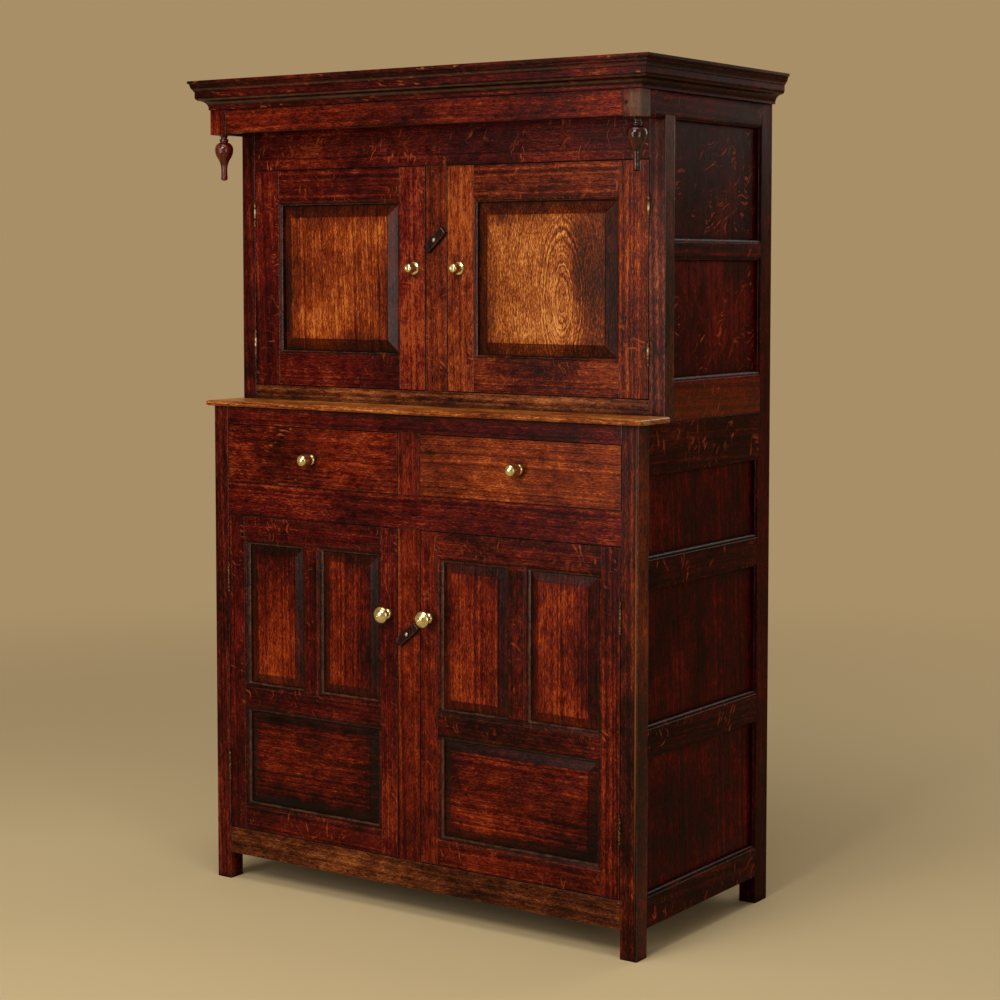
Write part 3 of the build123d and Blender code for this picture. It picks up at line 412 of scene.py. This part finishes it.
def oakFinish(name, look):
    # Riven and planed oak, stained and waxed for three centuries: the grain shows as broken streaks
    # and short dark pores, and rays as bright flecks. Dirt and painted shade darken the corners and
    # gaps, and the arrises are rubbed pale, partly worn and partly a painted highlight.
    material, tree = newTree(name)
    axis, laid, own, lift = boardPlace(tree, look)
    rings = growthRings(tree, laid, own, look)
    streak = noiseAt(tree, own, grain["streak"], detail=3.0, rough=0.6)
    pore = noiseAt(tree, own, grain["pore"], detail=2.0, rough=0.65)
    mottle = noiseAt(tree, own, grain["mottle"], detail=3.0, rough=0.6)
    blotch = noiseAt(tree, own, grain["blotch"], detail=2.0)

    # one tone from 0, dark, to 1, light, centred on 0.5
    ringShare, streakShare, poreShare, mottleShare, blotchShare = look["shares"]
    fine = put(tree, "ShaderNodeCombineXYZ", {0: rings, 1: streak, 2: pore})
    fineTone = put(tree, "ShaderNodeVectorMath", {0: fine, 1: (ringShare, streakShare, poreShare)},
                   out="Value", operation="DOT_PRODUCT")
    broad = put(tree, "ShaderNodeCombineXYZ", {0: mottle, 1: blotch})
    broadTone = put(tree, "ShaderNodeVectorMath", {0: broad, 1: (mottleShare, blotchShare, 0)},
                    out="Value", operation="DOT_PRODUCT")
    tone = put(tree, "ShaderNodeMath", {0: fineTone, 1: broadTone})
    tone = put(tree, "ShaderNodeMath", {0: tone, 1: 0.5 * (1 - sum(look["shares"])) + look["lift"]})
    if lift is not None:
        tone = put(tree, "ShaderNodeMath", {0: tone, 1: lift})
    if "worn" in look:
        rubbedAway = wornMiddle(tree, axis, blotch, look["worn"])
        tone = put(tree, "ShaderNodeMath", {0: rubbedAway, 1: look["worn"]["amount"], 2: tone},
                   operation="MULTIPLY_ADD")
    colour = put(tree, "ShaderNodeValToRGB", {"Fac": tone}, stops=list(zip(toneStops, look["tones"])))
    for facts in look.get("flecks", []):
        fleck = rayFlecks(tree, axis, own, facts)
        colour = put(tree, "ShaderNodeMix", {0: fleck, 6: colour, 7: toLinear(facts["colour"])},
                     out=2, data_type="RGBA")
    for mark in look.get("marks", []):
        colour = stain(tree, laid, colour, mark)

    # open pores hold dark wax
    low, high = onset["pit"]
    pit = put(tree, "ShaderNodeMapRange", {"Value": pore, "From Min": low, "From Max": high,
                                           "To Max": look["pit"]})
    colour = put(tree, "ShaderNodeMix", {0: pit, 6: colour, 7: toLinear(look["tones"][0])}, out=2,
                 data_type="RGBA")

    # polish has darkened on mouldings and bevels; the arrises are rubbed pale in dashes, wear and a
    # painted highlight in one
    slanted, sunk = slantOf(tree)
    deepened = put(tree, "ShaderNodeMath", {0: sunk, 1: look["sunk"]}, operation="MULTIPLY")
    colour = put(tree, "ShaderNodeMix", {0: deepened, 6: colour, 7: toLinear(wax["sunk"])},
                 out=2, data_type="RGBA", blend_type="MULTIPLY")
    dash = noiseAt(tree, own, grain["dash"], detail=2.0)
    low, high = onset["rub"]
    rub = put(tree, "ShaderNodeMapRange", {"Value": dash, "From Min": low, "From Max": high,
                                           "To Max": look["rub"]})
    rubbed = put(tree, "ShaderNodeMath", {0: slanted, 1: rub}, operation="MULTIPLY")
    colour = put(tree, "ShaderNodeMix", {0: rubbed, 6: colour, 7: toLinear(wax["arris"])}, out=2,
                 data_type="RGBA")

    # dirt and painted shade in the corners and gaps, darkest where the surface is most closed in
    bare = put(tree, "ShaderNodeAmbientOcclusion", {"Distance": wax["reach"]}, out="AO",
               samples=wax["samples"])
    low, high = onset["dirt"]
    dirt = put(tree, "ShaderNodeMapRange", {"Value": bare, "From Min": low, "From Max": high,
                                            "To Max": look["dirt"]})
    colour = put(tree, "ShaderNodeMix", {0: dirt, 6: colour, 7: toLinear(wax["corner"])}, out=2,
                 data_type="RGBA")

    ripple = noiseAt(tree, own, grain["ripple"], detail=2.0)
    low, high = onset["rough"]
    smoothest, roughest = look["rough"]
    rough = put(tree, "ShaderNodeMapRange", {"Value": mottle, "From Min": low, "From Max": high,
                                             "To Min": smoothest, "To Max": roughest})
    rough = put(tree, "ShaderNodeMath", {0: deepened, 1: -wax["smooths"] * smoothest, 2: rough},
                operation="MULTIPLY_ADD")
    rough = put(tree, "ShaderNodeMath", {0: dirt, 1: wax["dulls"], 2: rough},
                operation="MULTIPLY_ADD")
    relief = put(tree, "ShaderNodeCombineXYZ", {0: pore, 1: streak, 2: ripple})
    height = put(tree, "ShaderNodeVectorMath", {0: relief, 1: reliefShares}, out="Value",
                 operation="DOT_PRODUCT")
    surface = {"Height": height, "Distance": look["relief"]}
    if look["eased"]:
        surface["Normal"] = put(tree, "ShaderNodeBevel", {"Radius": edgeRound["radius"]},
                                samples=edgeRound["samples"])
    bump = put(tree, "ShaderNodeBump", surface)
    polish = put(tree, "ShaderNodeMath", {0: slanted, 1: look["polish"]}, operation="MULTIPLY")
    polish = put(tree, "ShaderNodeMath", {0: deepened, 1: wax["thin"] * look["polish"], 2: polish},
                 operation="MULTIPLY_ADD")
    shader = put(tree, "ShaderNodeBsdfPrincipled", {
        "Base Color": colour, "Roughness": rough, "Normal": bump, "IOR": oakShine["ior"],
        "Specular IOR Level": look["gloss"], "Coat Weight": polish,
        "Coat Roughness": oakShine["coatRough"], "Coat Normal": bump})
    put(tree, "ShaderNodeOutputMaterial", {"Surface": shader})
    return material


commonOak = {
    "shares": (0.8, 1.15, 1.0, 0.75, 1.0),    # rings, streaks, pores, mottle, blotches
    "ring": 9.0, "bend": 14.0, "wiggle": 3.0,           # millimetres
    "heart": (-900.0, -400.0, 0.0, 0.05),     # across, deep and along in millimetres, and its lean
    "lift": 0.0,                              # lighter or darker than the tones
    "pit": 0.55, "sunk": 0.85, "rub": 0.3, "dirt": 0.9,
    "rough": (0.26, 0.42), "relief": 0.0006, "gloss": 0.09,
    "polish": 0.9,                            # wax buffed on mouldings
    "eased": True,                            # worn edges catch the light
}


def oakLook(seed, lay, tones, **changes):
    # one board's finish, from the common one
    return {**commonOak, "seed": seed, "lay": lay, "tones": tones, **changes}


def dress(node, material):
    # puts a material in every slot of a node
    piece = nodes[node]
    if not piece.data.materials:
        piece.data.materials.append(material)
    for i in range(len(piece.material_slots)):
        piece.material_slots[i].material = material


# Tones run from the dark of a pore, over the body of the wood, to where hands have rubbed it bright
redDark = ("#0c0000", "#2c0302", "#500f07", "#7a2e18")
cherry = ("#0d0000", "#330202", "#5a0f06", "#8e3c16")
redMid = ("#100000", "#3b0501", "#6a1b06", "#9a4212")
russet = ("#120201", "#430d03", "#752b0a", "#a85620")
golden = ("#1e0702", "#561b06", "#82340e", "#b8682a")
honey = ("#2a1005", "#66290b", "#9e541c", "#d2924e")
umber = ("#180804", "#4a1e0a", "#7a401c", "#a66638")
brown = ("#100402", "#360f09", "#5e2617", "#8e5236")
sideDark = ("#0b0000", "#280000", "#440101", "#701408")
sideBrown = ("#0e0000", "#2a0201", "#4a0e04", "#742e18")
rawOak = ("#35251a", "#554030", "#77593f", "#8f7050")
blackened = ("#060101", "#170706", "#2e110d", "#54291e")

# Rays: sizes in millimetres, slant in degrees
flecks = {
    "bright": {"colour": "#b4562a", "amount": 0.7, "from": 0.60, "long": 34, "wide": 6.0,
               "slant": 10, "curl": 60, "curlSize": 60},
    "soft": {"colour": "#ac5024", "amount": 0.5, "from": 0.61, "long": 26, "wide": 5.0,
             "slant": -14, "curl": 50, "curlSize": 50},
    "along": {"colour": "#b8642c", "amount": 0.55, "from": 0.61, "long": 5.0, "wide": 24,
              "slant": 8, "curl": 0, "curlSize": 60},
    "swirl": {"colour": "#b04a28", "amount": 0.85, "from": 0.60, "long": 60, "wide": 6.5,
              "slant": 24, "curl": 110, "curlSize": 75},
}


def spanOf(node, axis):
    # lowest and highest of a node along one axis, in millimetres
    low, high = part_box(node)
    return low[axis] * mm, high[axis] * mm


def dressFront():
    rail, upright = "zyx", "xyz"
    leftFlecks = {**flecks["along"], "only": {"x": (-560, -340)}}
    boards = {
        "cornice_front": oakLook(1, rail, cherry, ring=7, rub=0.2, lift=-0.05,
                                 flecks=[flecks["along"]]),
        "frieze_rail": oakLook(2, rail, redMid, ring=8, bend=20),
        "upper_top_rail": oakLook(3, rail, cherry, lift=-0.05, flecks=[flecks["bright"]]),
        "upper_bottom_rail": oakLook(4, rail, umber, lift=0.04),
        "lower_top_rail": oakLook(5, rail, cherry, lift=-0.06),
        "drawer_rail": oakLook(6, rail, cherry, ring=8, lift=0.02),
        "lower_bottom_rail": oakLook(7, rail, umber, lift=-0.10, ring=12,
                                     shares=(0.7, 1.1, 1.1, 0.8, 0.9)),
        "waist_board": oakLook(8, "yzx", honey, ring=7, lift=0.14, sunk=0.4, rub=0.5),
        "lower_muntin": oakLook(9, upright, redMid),
        "upper_muntin": oakLook(10, upright, russet, flecks=[flecks["soft"]]),
        "drawer_divider": oakLook(11, upright, redMid),
        "lower_post_front_left": oakLook(12, upright, redDark),
        # the thin pale stripe down the right arris of this post is a painted highlight
        "lower_post_front_right": oakLook(13, upright, russet, lift=-0.22,
                                          marks=[(590, 640, 3, 620, "#a06a34", 0.4)]),
        "upper_post_front_left": oakLook(14, upright, redDark),
        "upper_post_front_right": oakLook(15, upright, brown, lift=0.06,
                                          steps=[("y", -164, -0.16)]),
        "corner_blocks": oakLook(18, upright, redMid, lift=-0.12, steps=[("x", 0, 0.12)],
                                 marks=[(584, 1826, 32, 40, "#5e4a3c", 0.7)]),
        "drawer_left_front": oakLook(20, rail, redMid, flecks=[leftFlecks]),
        "drawer_right_front": oakLook(21, rail, golden, ring=8, lift=0.03,
                                      marks=[(1040, 284, 27, 27, "#2a0a04", 0.75)]),
    }
    for node, look in boards.items():
        dress(node, oakFinish(f"waxedOak_{node}", look))


def dressSides():
    # the sides are duller than the front, and the left and right boards differ
    along, upright = "zxy", "yxz"
    common = {"gloss": 0.03, "polish": 0.08, "eased": False, "rub": 0.1}
    halves = ("x", 0, 0.0)
    swirl = [flecks["swirl"]]
    boards = {
        "lower_posts_rear": oakLook(16, upright, sideDark, steps=[halves], **common),
        "upper_posts_rear": oakLook(17, upright, sideDark, steps=[halves], **common),
        "cornice_returns": oakLook(19, along, redDark, steps=[halves], **common),
        "lower_side_rails": oakLook(
            30, along, sideBrown, lift=-0.14, flecks=swirl, **common,
            steps=[("z", 300, 0.02), ("z", 650, 0.0), ("z", 950, 0.10), halves]),
        "lower_side_panels": oakLook(
            31, upright, sideDark, shares=(0.6, 1.1, 1.2, 0.9, 1.2), **common,
            steps=[("z", 463, 0.04), ("z", 827, 0.03), halves]),
        "upper_side_rails": oakLook(
            32, along, sideDark, lift=0.24, flecks=swirl, **common,
            steps=[("z", 1350, -0.20), ("z", 1650, 0.0), halves],
            marks=[(1175, 15, 85, 1400, "#7a4620", 0.25)]),
        "upper_side_panels": oakLook(
            33, upright, sideDark, lift=0.16, shares=(0.5, 1.0, 1.2, 0.9, 1.4), flecks=swirl,
            **common, steps=[("z", 1520, -0.20), halves]),
    }
    for node, look in boards.items():
        dress(node, oakFinish(f"waxedOak_{node}", look))


# Widths of door members in millimetres, for the grain of each, and how much lighter the stile that
# hands reach for, the hanging stile and the rails from the middle one up are
doorSizes = {
    "lower": {"stile": 47, "rail": 55, "middle": 44, "panel": 247, "moulding": 14.5,
              "closing": 0.08, "hanging": 0.0, "middleLift": -0.05},
    "upper": {"stile": 73, "rail": 76, "moulding": 9.5, "closing": 0.20, "hanging": 0.08},
}
doorFrames = {
    "upper_left": {"seed": 40, "tones": cherry, "lift": 0.0, "headLift": -0.04},
    "lower_left": {"seed": 41, "tones": cherry, "lift": -0.05, "headLift": -0.04},
    "upper_right": {"seed": 50, "tones": russet, "lift": -0.05, "headLift": 0.05},
    "lower_right": {"seed": 51, "tones": redMid, "lift": -0.05, "headLift": 0.05},
}
lowerPanels = {
    "left": {"seed": 44, "lift": -0.13}, "right": {"seed": 54, "lift": -0.05},
    "rightLift": 0.07, "bottomLift": -0.20, "worn": 0.22,
}
upperPanels = {
    "upper_door_left_panel": {
        "look": oakLook(22, "xyz", golden, ring=6, lift=-0.24,
                        marks=[(-139, 1406, 3, 22, "#140402", 0.9)]),
        "dull": 0, "worn": 0.42},
    "upper_door_right_panel": {
        "look": oakLook(23, "xyz", honey, ring=3.8, bend=12, wiggle=7.0,
                        heart=(338, -166, 1440, 0.34), ringReach=(28, 75),
                        shares=(1.5, 1.2, 1.2, 0.5, 0.7), lift=-0.26),
        "dull": 70, "worn": 0.42},            # a dull strip on the right, in millimetres
}
wornReach = 75                                # millimetres


def doorFrameLook(node, stageName, hand):
    # Rails with their mouldings have their grain sideways, the stiles and the upright between panels
    # along. The closing stile is on the left of a right-hand door.
    sizes = doorSizes[stageName]
    facts = doorFrames[f"{stageName}_{hand}"]
    left, right = spanOf(node, 0)
    foot, head = spanOf(node, 2)
    inner = (left + sizes["stile"], right - sizes["stile"])
    edge = sizes["moulding"]
    rails = [{"x": inner, "z": (foot, foot + sizes["rail"] + edge)},
             {"x": inner, "z": (head - sizes["rail"] - edge, head)}]
    crossing = [("z", head - 2 * sizes["rail"], facts["headLift"])]
    if stageName == "lower":
        low = foot + sizes["rail"] + sizes["panel"]
        rails.append({"x": inner, "z": (low - edge, low + sizes["middle"] + edge)})
        crossing.append(("z", low - edge, sizes["middleLift"]))
    stiles = (sizes["closing"], sizes["hanging"])
    base, far = stiles if hand == "right" else stiles[::-1]
    plain = [("x", inner[0], -base), ("x", inner[1], far)]
    return oakLook(facts["seed"], "xyz", facts["tones"], turned=rails, turnedLay="zyx", plain=plain,
                   crossing=crossing, lift=facts["lift"] + base, turnedLift=-base,
                   flecks=[flecks["soft"]])


def lowerPanelsLook(node, hand):
    # two upright panels over one whose grain lies sideways
    foot, head = spanOf(node, 2)
    left, right = spanOf(node, 0)
    split = foot + doorSizes["lower"]["panel"]
    middle = (left + right) / 2
    fields = [{"x": (left, right), "z": (foot, split)}, {"x": (left, middle), "z": (split, head)},
              {"x": (middle, right), "z": (split, head)}]
    return oakLook(lowerPanels[hand]["seed"], "xyz", redMid, turned=[{"z": (foot, split)}],
                   turnedLay="zyx", plain=[("x", middle, lowerPanels["rightLift"])],
                   turnedLift=lowerPanels["bottomLift"], lift=lowerPanels[hand]["lift"],
                   worn={"reach": wornReach, "amount": lowerPanels["worn"], "fields": fields})


def dressDoors():
    for hand in ("left", "right"):
        for stageName in ("upper", "lower"):
            node = f"{stageName}_door_{hand}_frame"
            dress(node, oakFinish(f"waxedOak_{node}", doorFrameLook(node, stageName, hand)))
        node = f"lower_door_{hand}_panels"
        dress(node, oakFinish(f"waxedOak_{node}", lowerPanelsLook(node, hand)))
    for node, facts in upperPanels.items():
        left, right = spanOf(node, 0)
        field = {"x": (left, right - facts["dull"]), "z": spanOf(node, 2)}
        worn = {"reach": wornReach, "amount": facts["worn"], "fields": [field]}
        dress(node, oakFinish(f"waxedOak_{node}", {**facts["look"], "worn": worn}))


# Boards inside and behind: the lay of the grain, the axis across the boards and their width
dryBoards = {
    "lower_back_boards": ("xyz", "x", 185), "upper_back_boards": ("xyz", "x", 185),
    "lower_floor_boards": ("xzy", "x", 190), "upper_floor_boards": ("xzy", "x", 190),
    "lower_top_boards": ("xzy", "x", 190), "top_boards": ("yzx", "y", 150),
    "lower_rear_rails": ("zyx", "z", 420), "upper_rear_rails": ("zyx", "z", 420),
    "drawer_runners": ("xzy", "x", 300),
}
dryOak = {"rough": (0.6, 0.8), "gloss": 0.2, "polish": 0.0, "rub": 0.2, "sunk": 0.2, "eased": False}
dryLifts = (0.12, -0.08, -0.06)               # from one board to the next, in turn
drySeed = 60
drawerBox = {"seed": 80, "wall": 12.5, "lift": 0.05}


def dressInside():
    # unpolished oak, grey-brown with age
    for i, (node, (lay, axis, wide)) in enumerate(dryBoards.items()):
        low, high = spanOf(node, "xyz".index(axis))
        count = max(1, round((high - low) / wide))
        steps = [(axis, low + (high - low) * (n + 1) / count, dryLifts[n % len(dryLifts)])
                 for n in range(count - 1)]
        look = oakLook(drySeed + i, lay, rawOak, steps=steps, **dryOak)
        dress(node, oakFinish(f"dryOak_{node}", look))
    for i, hand in enumerate(("left", "right")):
        node = f"drawer_{hand}_box"
        left, right = spanOf(node, 0)
        inner = (left + drawerBox["wall"], right - drawerBox["wall"])
        look = oakLook(drawerBox["seed"] + i, "zxy", rawOak, turned=[{"x": inner}], turnedLay="yzx",
                       steps=[("x", (left + right) / 2, drawerBox["lift"])], **dryOak)
        dress(node, oakFinish(f"dryOak_{node}", look))


dressFront()
dressSides()
dressDoors()
dressInside()
print("oak dressed")

# Sizes of the patina are in millimetres, and reach and relief in metres
metals = {
    # cast, turned and polished by hand: a pale yellow gleam, brown in the hollows
    "polishedBrass": {"tones": ("#b09c60", "#ddd09a", "#efe8c6"), "patch": 9, "reach": 0.006,
                      "tarnish": 0.8, "dirt": "#3a2409", "rough": (0.10, 0.32), "relief": 0.00004},
    # filed plate, long unpolished: a dull brown-yellow with bright places on the knuckles
    "tarnishedBrass": {"tones": ("#4a3a22", "#8f8058", "#d8cfae"), "patch": 7, "reach": 0.004,
                       "tarnish": 0.9, "dirt": "#1c1008", "rough": (0.28, 0.5), "relief": 0.00006},
    # the same plate where wax and stain have run over it: dark brown with a few yellow scratches
    "waxedBrass": {"tones": ("#24120a", "#4e3420", "#a48c5e"), "patch": 4, "reach": 0.004,
                   "tarnish": 0.9, "dirt": "#160a06", "rough": (0.34, 0.55), "relief": 0.00006},
    # forged iron screws, worn bright on their heads
    "wornIron": {"tones": ("#6a655f", "#a9a39b", "#d0cbc2"), "patch": 3, "reach": 0.003,
                 "tarnish": 0.6, "dirt": "#1a1310", "rough": (0.25, 0.45), "relief": 0.00004},
}
patina = {
    "stops": (0.28, 0.5, 0.75),
    "scratch": (1.2, 1.2, 1.2),               # millimetres
    "hollow": (0.8, 0.3), "samples": 5,       # how open a hollow is where tarnish starts and is full
    "dulls": 0.4,                             # roughness that tarnish adds
}


def metalFinish(name, facts):
    # Metal with a cloud of lighter and darker patina, and tarnish where a cloth doesn't reach.
    material, tree = newTree(name)
    local = put(tree, "ShaderNodeTexCoord", out="Object")
    place = put(tree, "ShaderNodeVectorMath", {0: local, 1: (mm,) * 3}, operation="MULTIPLY")
    cloud = noiseAt(tree, place, (facts["patch"],) * 3, detail=3.0)
    scratch = noiseAt(tree, place, patina["scratch"], detail=2.0)
    colour = put(tree, "ShaderNodeValToRGB", {"Fac": cloud},
                 stops=list(zip(patina["stops"], facts["tones"])))
    hollow = put(tree, "ShaderNodeAmbientOcclusion", {"Distance": facts["reach"]}, out="AO",
                 samples=patina["samples"])
    low, high = patina["hollow"]
    tarnish = put(tree, "ShaderNodeMapRange", {"Value": hollow, "From Min": low, "From Max": high,
                                               "To Max": facts["tarnish"]})
    colour = put(tree, "ShaderNodeMix", {0: tarnish, 6: colour, 7: toLinear(facts["dirt"])}, out=2,
                 data_type="RGBA")
    smoothest, roughest = facts["rough"]
    rough = put(tree, "ShaderNodeMapRange", {"Value": cloud, "To Min": smoothest,
                                             "To Max": roughest})
    rough = put(tree, "ShaderNodeMath", {0: tarnish, 1: patina["dulls"], 2: rough},
                operation="MULTIPLY_ADD")
    bump = put(tree, "ShaderNodeBump", {"Height": scratch, "Distance": facts["relief"]})
    shader = put(tree, "ShaderNodeBsdfPrincipled", {
        "Base Color": colour, "Metallic": 1.0, "Roughness": rough, "Normal": bump})
    put(tree, "ShaderNodeOutputMaterial", {"Surface": shader})
    return material


finish = {name: metalFinish(name, facts) for name, facts in metals.items()}
darkWoods = {
    # oak blackened by hands and wax: almost black, with a little brown along the grain
    "blackenedOak": oakLook(90, "xyz", blackened, rub=0.35, sunk=0.2),
    # turned on a pole lathe and waxed: dark red with a hard gleam on the bulbs
    "turnedOak": oakLook(95, "xyz", cherry, rough=(0.10, 0.16), gloss=0.5, polish=0.0, sunk=0.0,
                         rub=0.0, lift=-0.06, dirt=0.7, eased=False),
    # end grain of the pegs, darker than the boards around them
    "pegOak": oakLook(97, "xyz", redDark, sunk=0.0, rub=0.0),
}
finish.update({name: oakFinish(name, look) for name, look in darkWoods.items()})
for node in nodes:
    if "hinge" in node:
        bright = node.startswith("upper")
        dress(node, finish["tarnishedBrass" if bright else "waxedBrass"])
    elif node.endswith("_turn_button"):
        dress(node, finish["blackenedOak"])
print("metal and dark wood dressed")

# Outlines in millimetres from one end of the axis to the other: a pair is the radius and height of a
# corner, and two pairs are a point on an arc and its end.
knobOutlines = {
    "lower": [(0, -12), (4, -12), (4, 0), (12.8, 0), (12.8, 3), ((11.2, 7.2), (7, 9.5)),
              ((6.6, 14), (8.5, 20)), ((15.5, 23.2), (19.8, 27)), (19.8, 28.5),
              ((13, 35.2), (3, 39)), ((1.5, 38.23), (0, 38))],
    "upper": [(0, -12), (4, -12), (4, 0), (14.8, 0), (14.8, 1.8), ((11.5, 3.6), (6.5, 4.6)),
              ((5.6, 6.8), (7, 9)), ((10.6, 9.8), (12.3, 12)), (12.1, 15), (10.3, 24.3),
              ((8.6, 26.3), (2, 27)), ((1, 26.38), (0, 26.2))],
    "drawer": [(0, -12), (4, -12), (4, 0), (13.3, 0), (13.3, 3), ((12, 6.6), (9, 9.3)),
               ((8.6, 10.4), (10, 11.5)), ((14.2, 13.8), (15.9, 18.5)),
               ((15.4, 29), (12.3, 38.5)), ((6.15, 42.81), (0, 44))],
}
screwOutline = [(0, -14), (2.5, -14), (2.5, 0), (4.6, 0), (4.6, 0.7), (2.5, 0.7), (2.5, 10.3),
                (4.6, 10.3), ((2.3, 11.86), (0, 12.3))]
turning = {
    "around": 72, "screwAround": 32, "pegAround": 14, "arcSteps": 9, "sharpAngle": 38,
    # millimetres from the hidden end of a node's box to the face that the piece stands on
    "knobSpigot": 12, "pendantSpigot": 9,
    "buttonGap": 1,                           # from the back of a turn-button to that face
}
# Pegs and nails of the carcase, nearly flush: across, height and radius in millimetres, on the face
# at the front of a node
pegs = {
    "corner_blocks": [(562.3, 1827.3, 4.5), (-559.0, 1825.7, 4.5)],
    "upper_post_front_left": [(-571.3, 1778.8, 4.5)],
    "upper_top_rail": [(-19.1, 1726.6, 3.5), (9.2, 1728.1, 3.5)],
    "upper_bottom_rail": [(-131.6, 1183.0, 2.5)],
    "lower_bottom_rail": [(-540.5, 89.3, 4), (-282.5, 70.9, 3.5), (-190.6, 74.7, 3.5),
                          (159.2, 74.4, 4)],
}


def pendantOutline(length):
    # from the top of the spigot down to the tip, length below the face that it hangs from
    return [(0, 9), (6, 9), (6, 0), (12.5, 0), (12.5, -1.2), ((8.9, -3.4), (7.6, -7)), (7.6, -9.5),
            (9.3, -9.5), ((10.8, -12.8), (9.3, -16)), (9.3, -17.5), (12.5, -18.2),
            ((19.2, -24.6), (21.8, -34.5)), ((20.5, -44.5), (16.6, -53.5)),
            ((10.6, -65), (7.6, -79)), ((7.3, -89), (8.3, 4 - length)),
            ((4.15, 0.84 - length), (0, -length))]


def pegOutline(radius):
    # from inside the wood to a worn head, a little proud
    return [(0, -3), (radius, -3), (radius, 0.2), (0.8 * radius, 0.5), (0.4 * radius, 0.7),
            (0, 0.75)]


def arcPoints(start, through, end, count):
    # The circle through three points: its middle is where the bisectors of two chords meet, and the
    # points lie at equal steps of angle from the first to the last.
    (ax, ay), (bx, by), (cx, cy) = start, through, end
    twist = 2 * (ax * (by - cy) + bx * (cy - ay) + cx * (ay - by))
    squares = np.array([ax * ax + ay * ay, bx * bx + by * by, cx * cx + cy * cy])
    middle = np.array([squares @ [by - cy, cy - ay, ay - by],
                       squares @ [cx - bx, ax - cx, bx - ax]]) / twist
    spokes = np.array([start, through, end], float) - middle
    angles = np.arctan2(spokes[:, 1], spokes[:, 0])
    turn = ((np.diff(angles) + math.pi) % (2 * math.pi) - math.pi).sum()
    steps = angles[0] + turn * np.linspace(0, 1, count + 1)
    return middle + np.hypot(*spokes[0]) * np.stack((np.cos(steps), np.sin(steps)), axis=1)


def outlinePoints(outline):
    # the outline's corners and arcs as one run of points, in metres
    run = [np.array([outline[0]], float)]
    for step in outline[1:]:
        if isinstance(step[0], tuple):
            run.append(arcPoints(run[-1][-1], *step, turning["arcSteps"])[1:])
        else:
            run.append(np.array([step], float))
    return np.vstack(run) / mm


def turnedShell(outline, foot, axis, around):
    # An outline carried round an axis: a point at radius r and height h goes at angle t to
    # foot + h axis + r (cos t side + sin t up). The two end points lie on the axis and close it.
    points = outlinePoints(outline)
    axis = np.array(axis, float)
    side = np.array((1.0, 0.0, 0.0))
    up = np.cross(axis, side)
    angle = np.arange(around) * 2 * math.pi / around
    rim = np.cos(angle)[:, None] * side + np.sin(angle)[:, None] * up
    radius, height = points[1:-1].T
    rings = foot + height[:, None, None] * axis + radius[:, None, None] * rim
    poles = foot + points[[0, -1], 1][:, None] * axis
    places = np.vstack((rings.reshape(-1, 3), poles))
    index = np.arange(len(radius) * around).reshape(-1, around)
    after = np.roll(index, -1, axis=1)
    quads = np.stack((index[:-1], after[:-1], after[1:], index[1:]), axis=-1).reshape(-1, 4)
    first, last = np.full(around, index.size), np.full(around, index.size + 1)
    caps = np.vstack((np.stack((after[0], index[0], first), 1),
                      np.stack((index[-1], after[-1], last), 1)))
    return places, quads, caps


def outward(places, quads, caps):
    # A sixth of the sum of a . (b x c) over the triangles is the enclosed volume: below zero, the
    # faces look inwards and are turned round.
    corners = np.vstack((quads[:, :3], quads[:, [0, 2, 3]], caps))
    a, b, c = (places[corners[:, i]] for i in range(3))
    if (a * np.cross(b, c)).sum() < 0:
        return places, quads[:, ::-1], caps[:, ::-1]
    return places, quads, caps


def addPiece(name, shells, material, body, slotName, *replaced):
    # closed shells in one mesh, smooth but for the corners of their outlines
    places, faces, count = [], [], 0
    for shell in shells:
        points, quads, caps = outward(*shell)
        places.append(points)
        faces += (quads + count).tolist() + (caps + count).tolist()
        count += len(points)
    mesh = bpy.data.meshes.new(name)
    mesh.from_pydata(np.vstack(places), [], faces)
    mesh.materials.append(material)
    mesh.shade_smooth()
    mesh.set_sharp_from_angle(angle=math.radians(turning["sharpAngle"]))
    piece = bpy.data.objects.new(name, mesh)
    scene.collection.objects.link(piece)
    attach(piece, body)
    if replaced:
        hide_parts(*replaced)


def footOf(node, spigot):
    # the point on the face that a piece pointing forwards stands on
    low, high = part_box(node)
    return np.array(((low[0] + high[0]) / 2, high[1] - spigot / mm, (low[2] + high[2]) / 2))


def turnPieces():
    forward, upward = (0, -1, 0), (0, 0, 1)
    for node in [name for name in nodes if name.endswith("_knob")]:
        outline = knobOutlines[node.split("_")[0]]
        shell = turnedShell(outline, footOf(node, turning["knobSpigot"]), forward, turning["around"])
        addPiece(f"turned_{node}", [shell], finish["polishedBrass"], node.removesuffix("_knob"),
                 "brass", node)
    for node in ("pendant_left", "pendant_right"):
        low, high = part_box(node)
        foot = np.array(((low[0] + high[0]) / 2, (low[1] + high[1]) / 2,
                         high[2] - turning["pendantSpigot"] / mm))
        length = (foot[2] - low[2]) * mm
        shell = turnedShell(pendantOutline(length), foot, upward, turning["around"])
        addPiece(f"turned_{node}", [shell], finish["turnedOak"], "cabinet", "polished_oak", node)
    shells = []
    for stageName in ("upper", "lower"):
        low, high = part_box(f"{stageName}_turn_button")
        foot = np.array(((low[0] + high[0]) / 2, high[1] + turning["buttonGap"] / mm,
                         (low[2] + high[2]) / 2))
        shells.append(turnedShell(screwOutline, foot, forward, turning["screwAround"]))
    addPiece("turned_button_screws", shells, finish["wornIron"], "cabinet", "steel_screw",
             "turn_button_screws")


def drivePegs():
    shells = []
    for node, places in pegs.items():
        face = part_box(node)[0][1]
        for across, height, radius in places:
            foot = np.array((across / mm, face, height / mm))
            shells.append(turnedShell(pegOutline(radius), foot, (0, -1, 0), turning["pegAround"]))
    addPiece("carcase_pegs", shells, finish["pegOak"], "cabinet", "polished_oak")


turnPieces()
drivePegs()
print("turned pieces and pegs made")
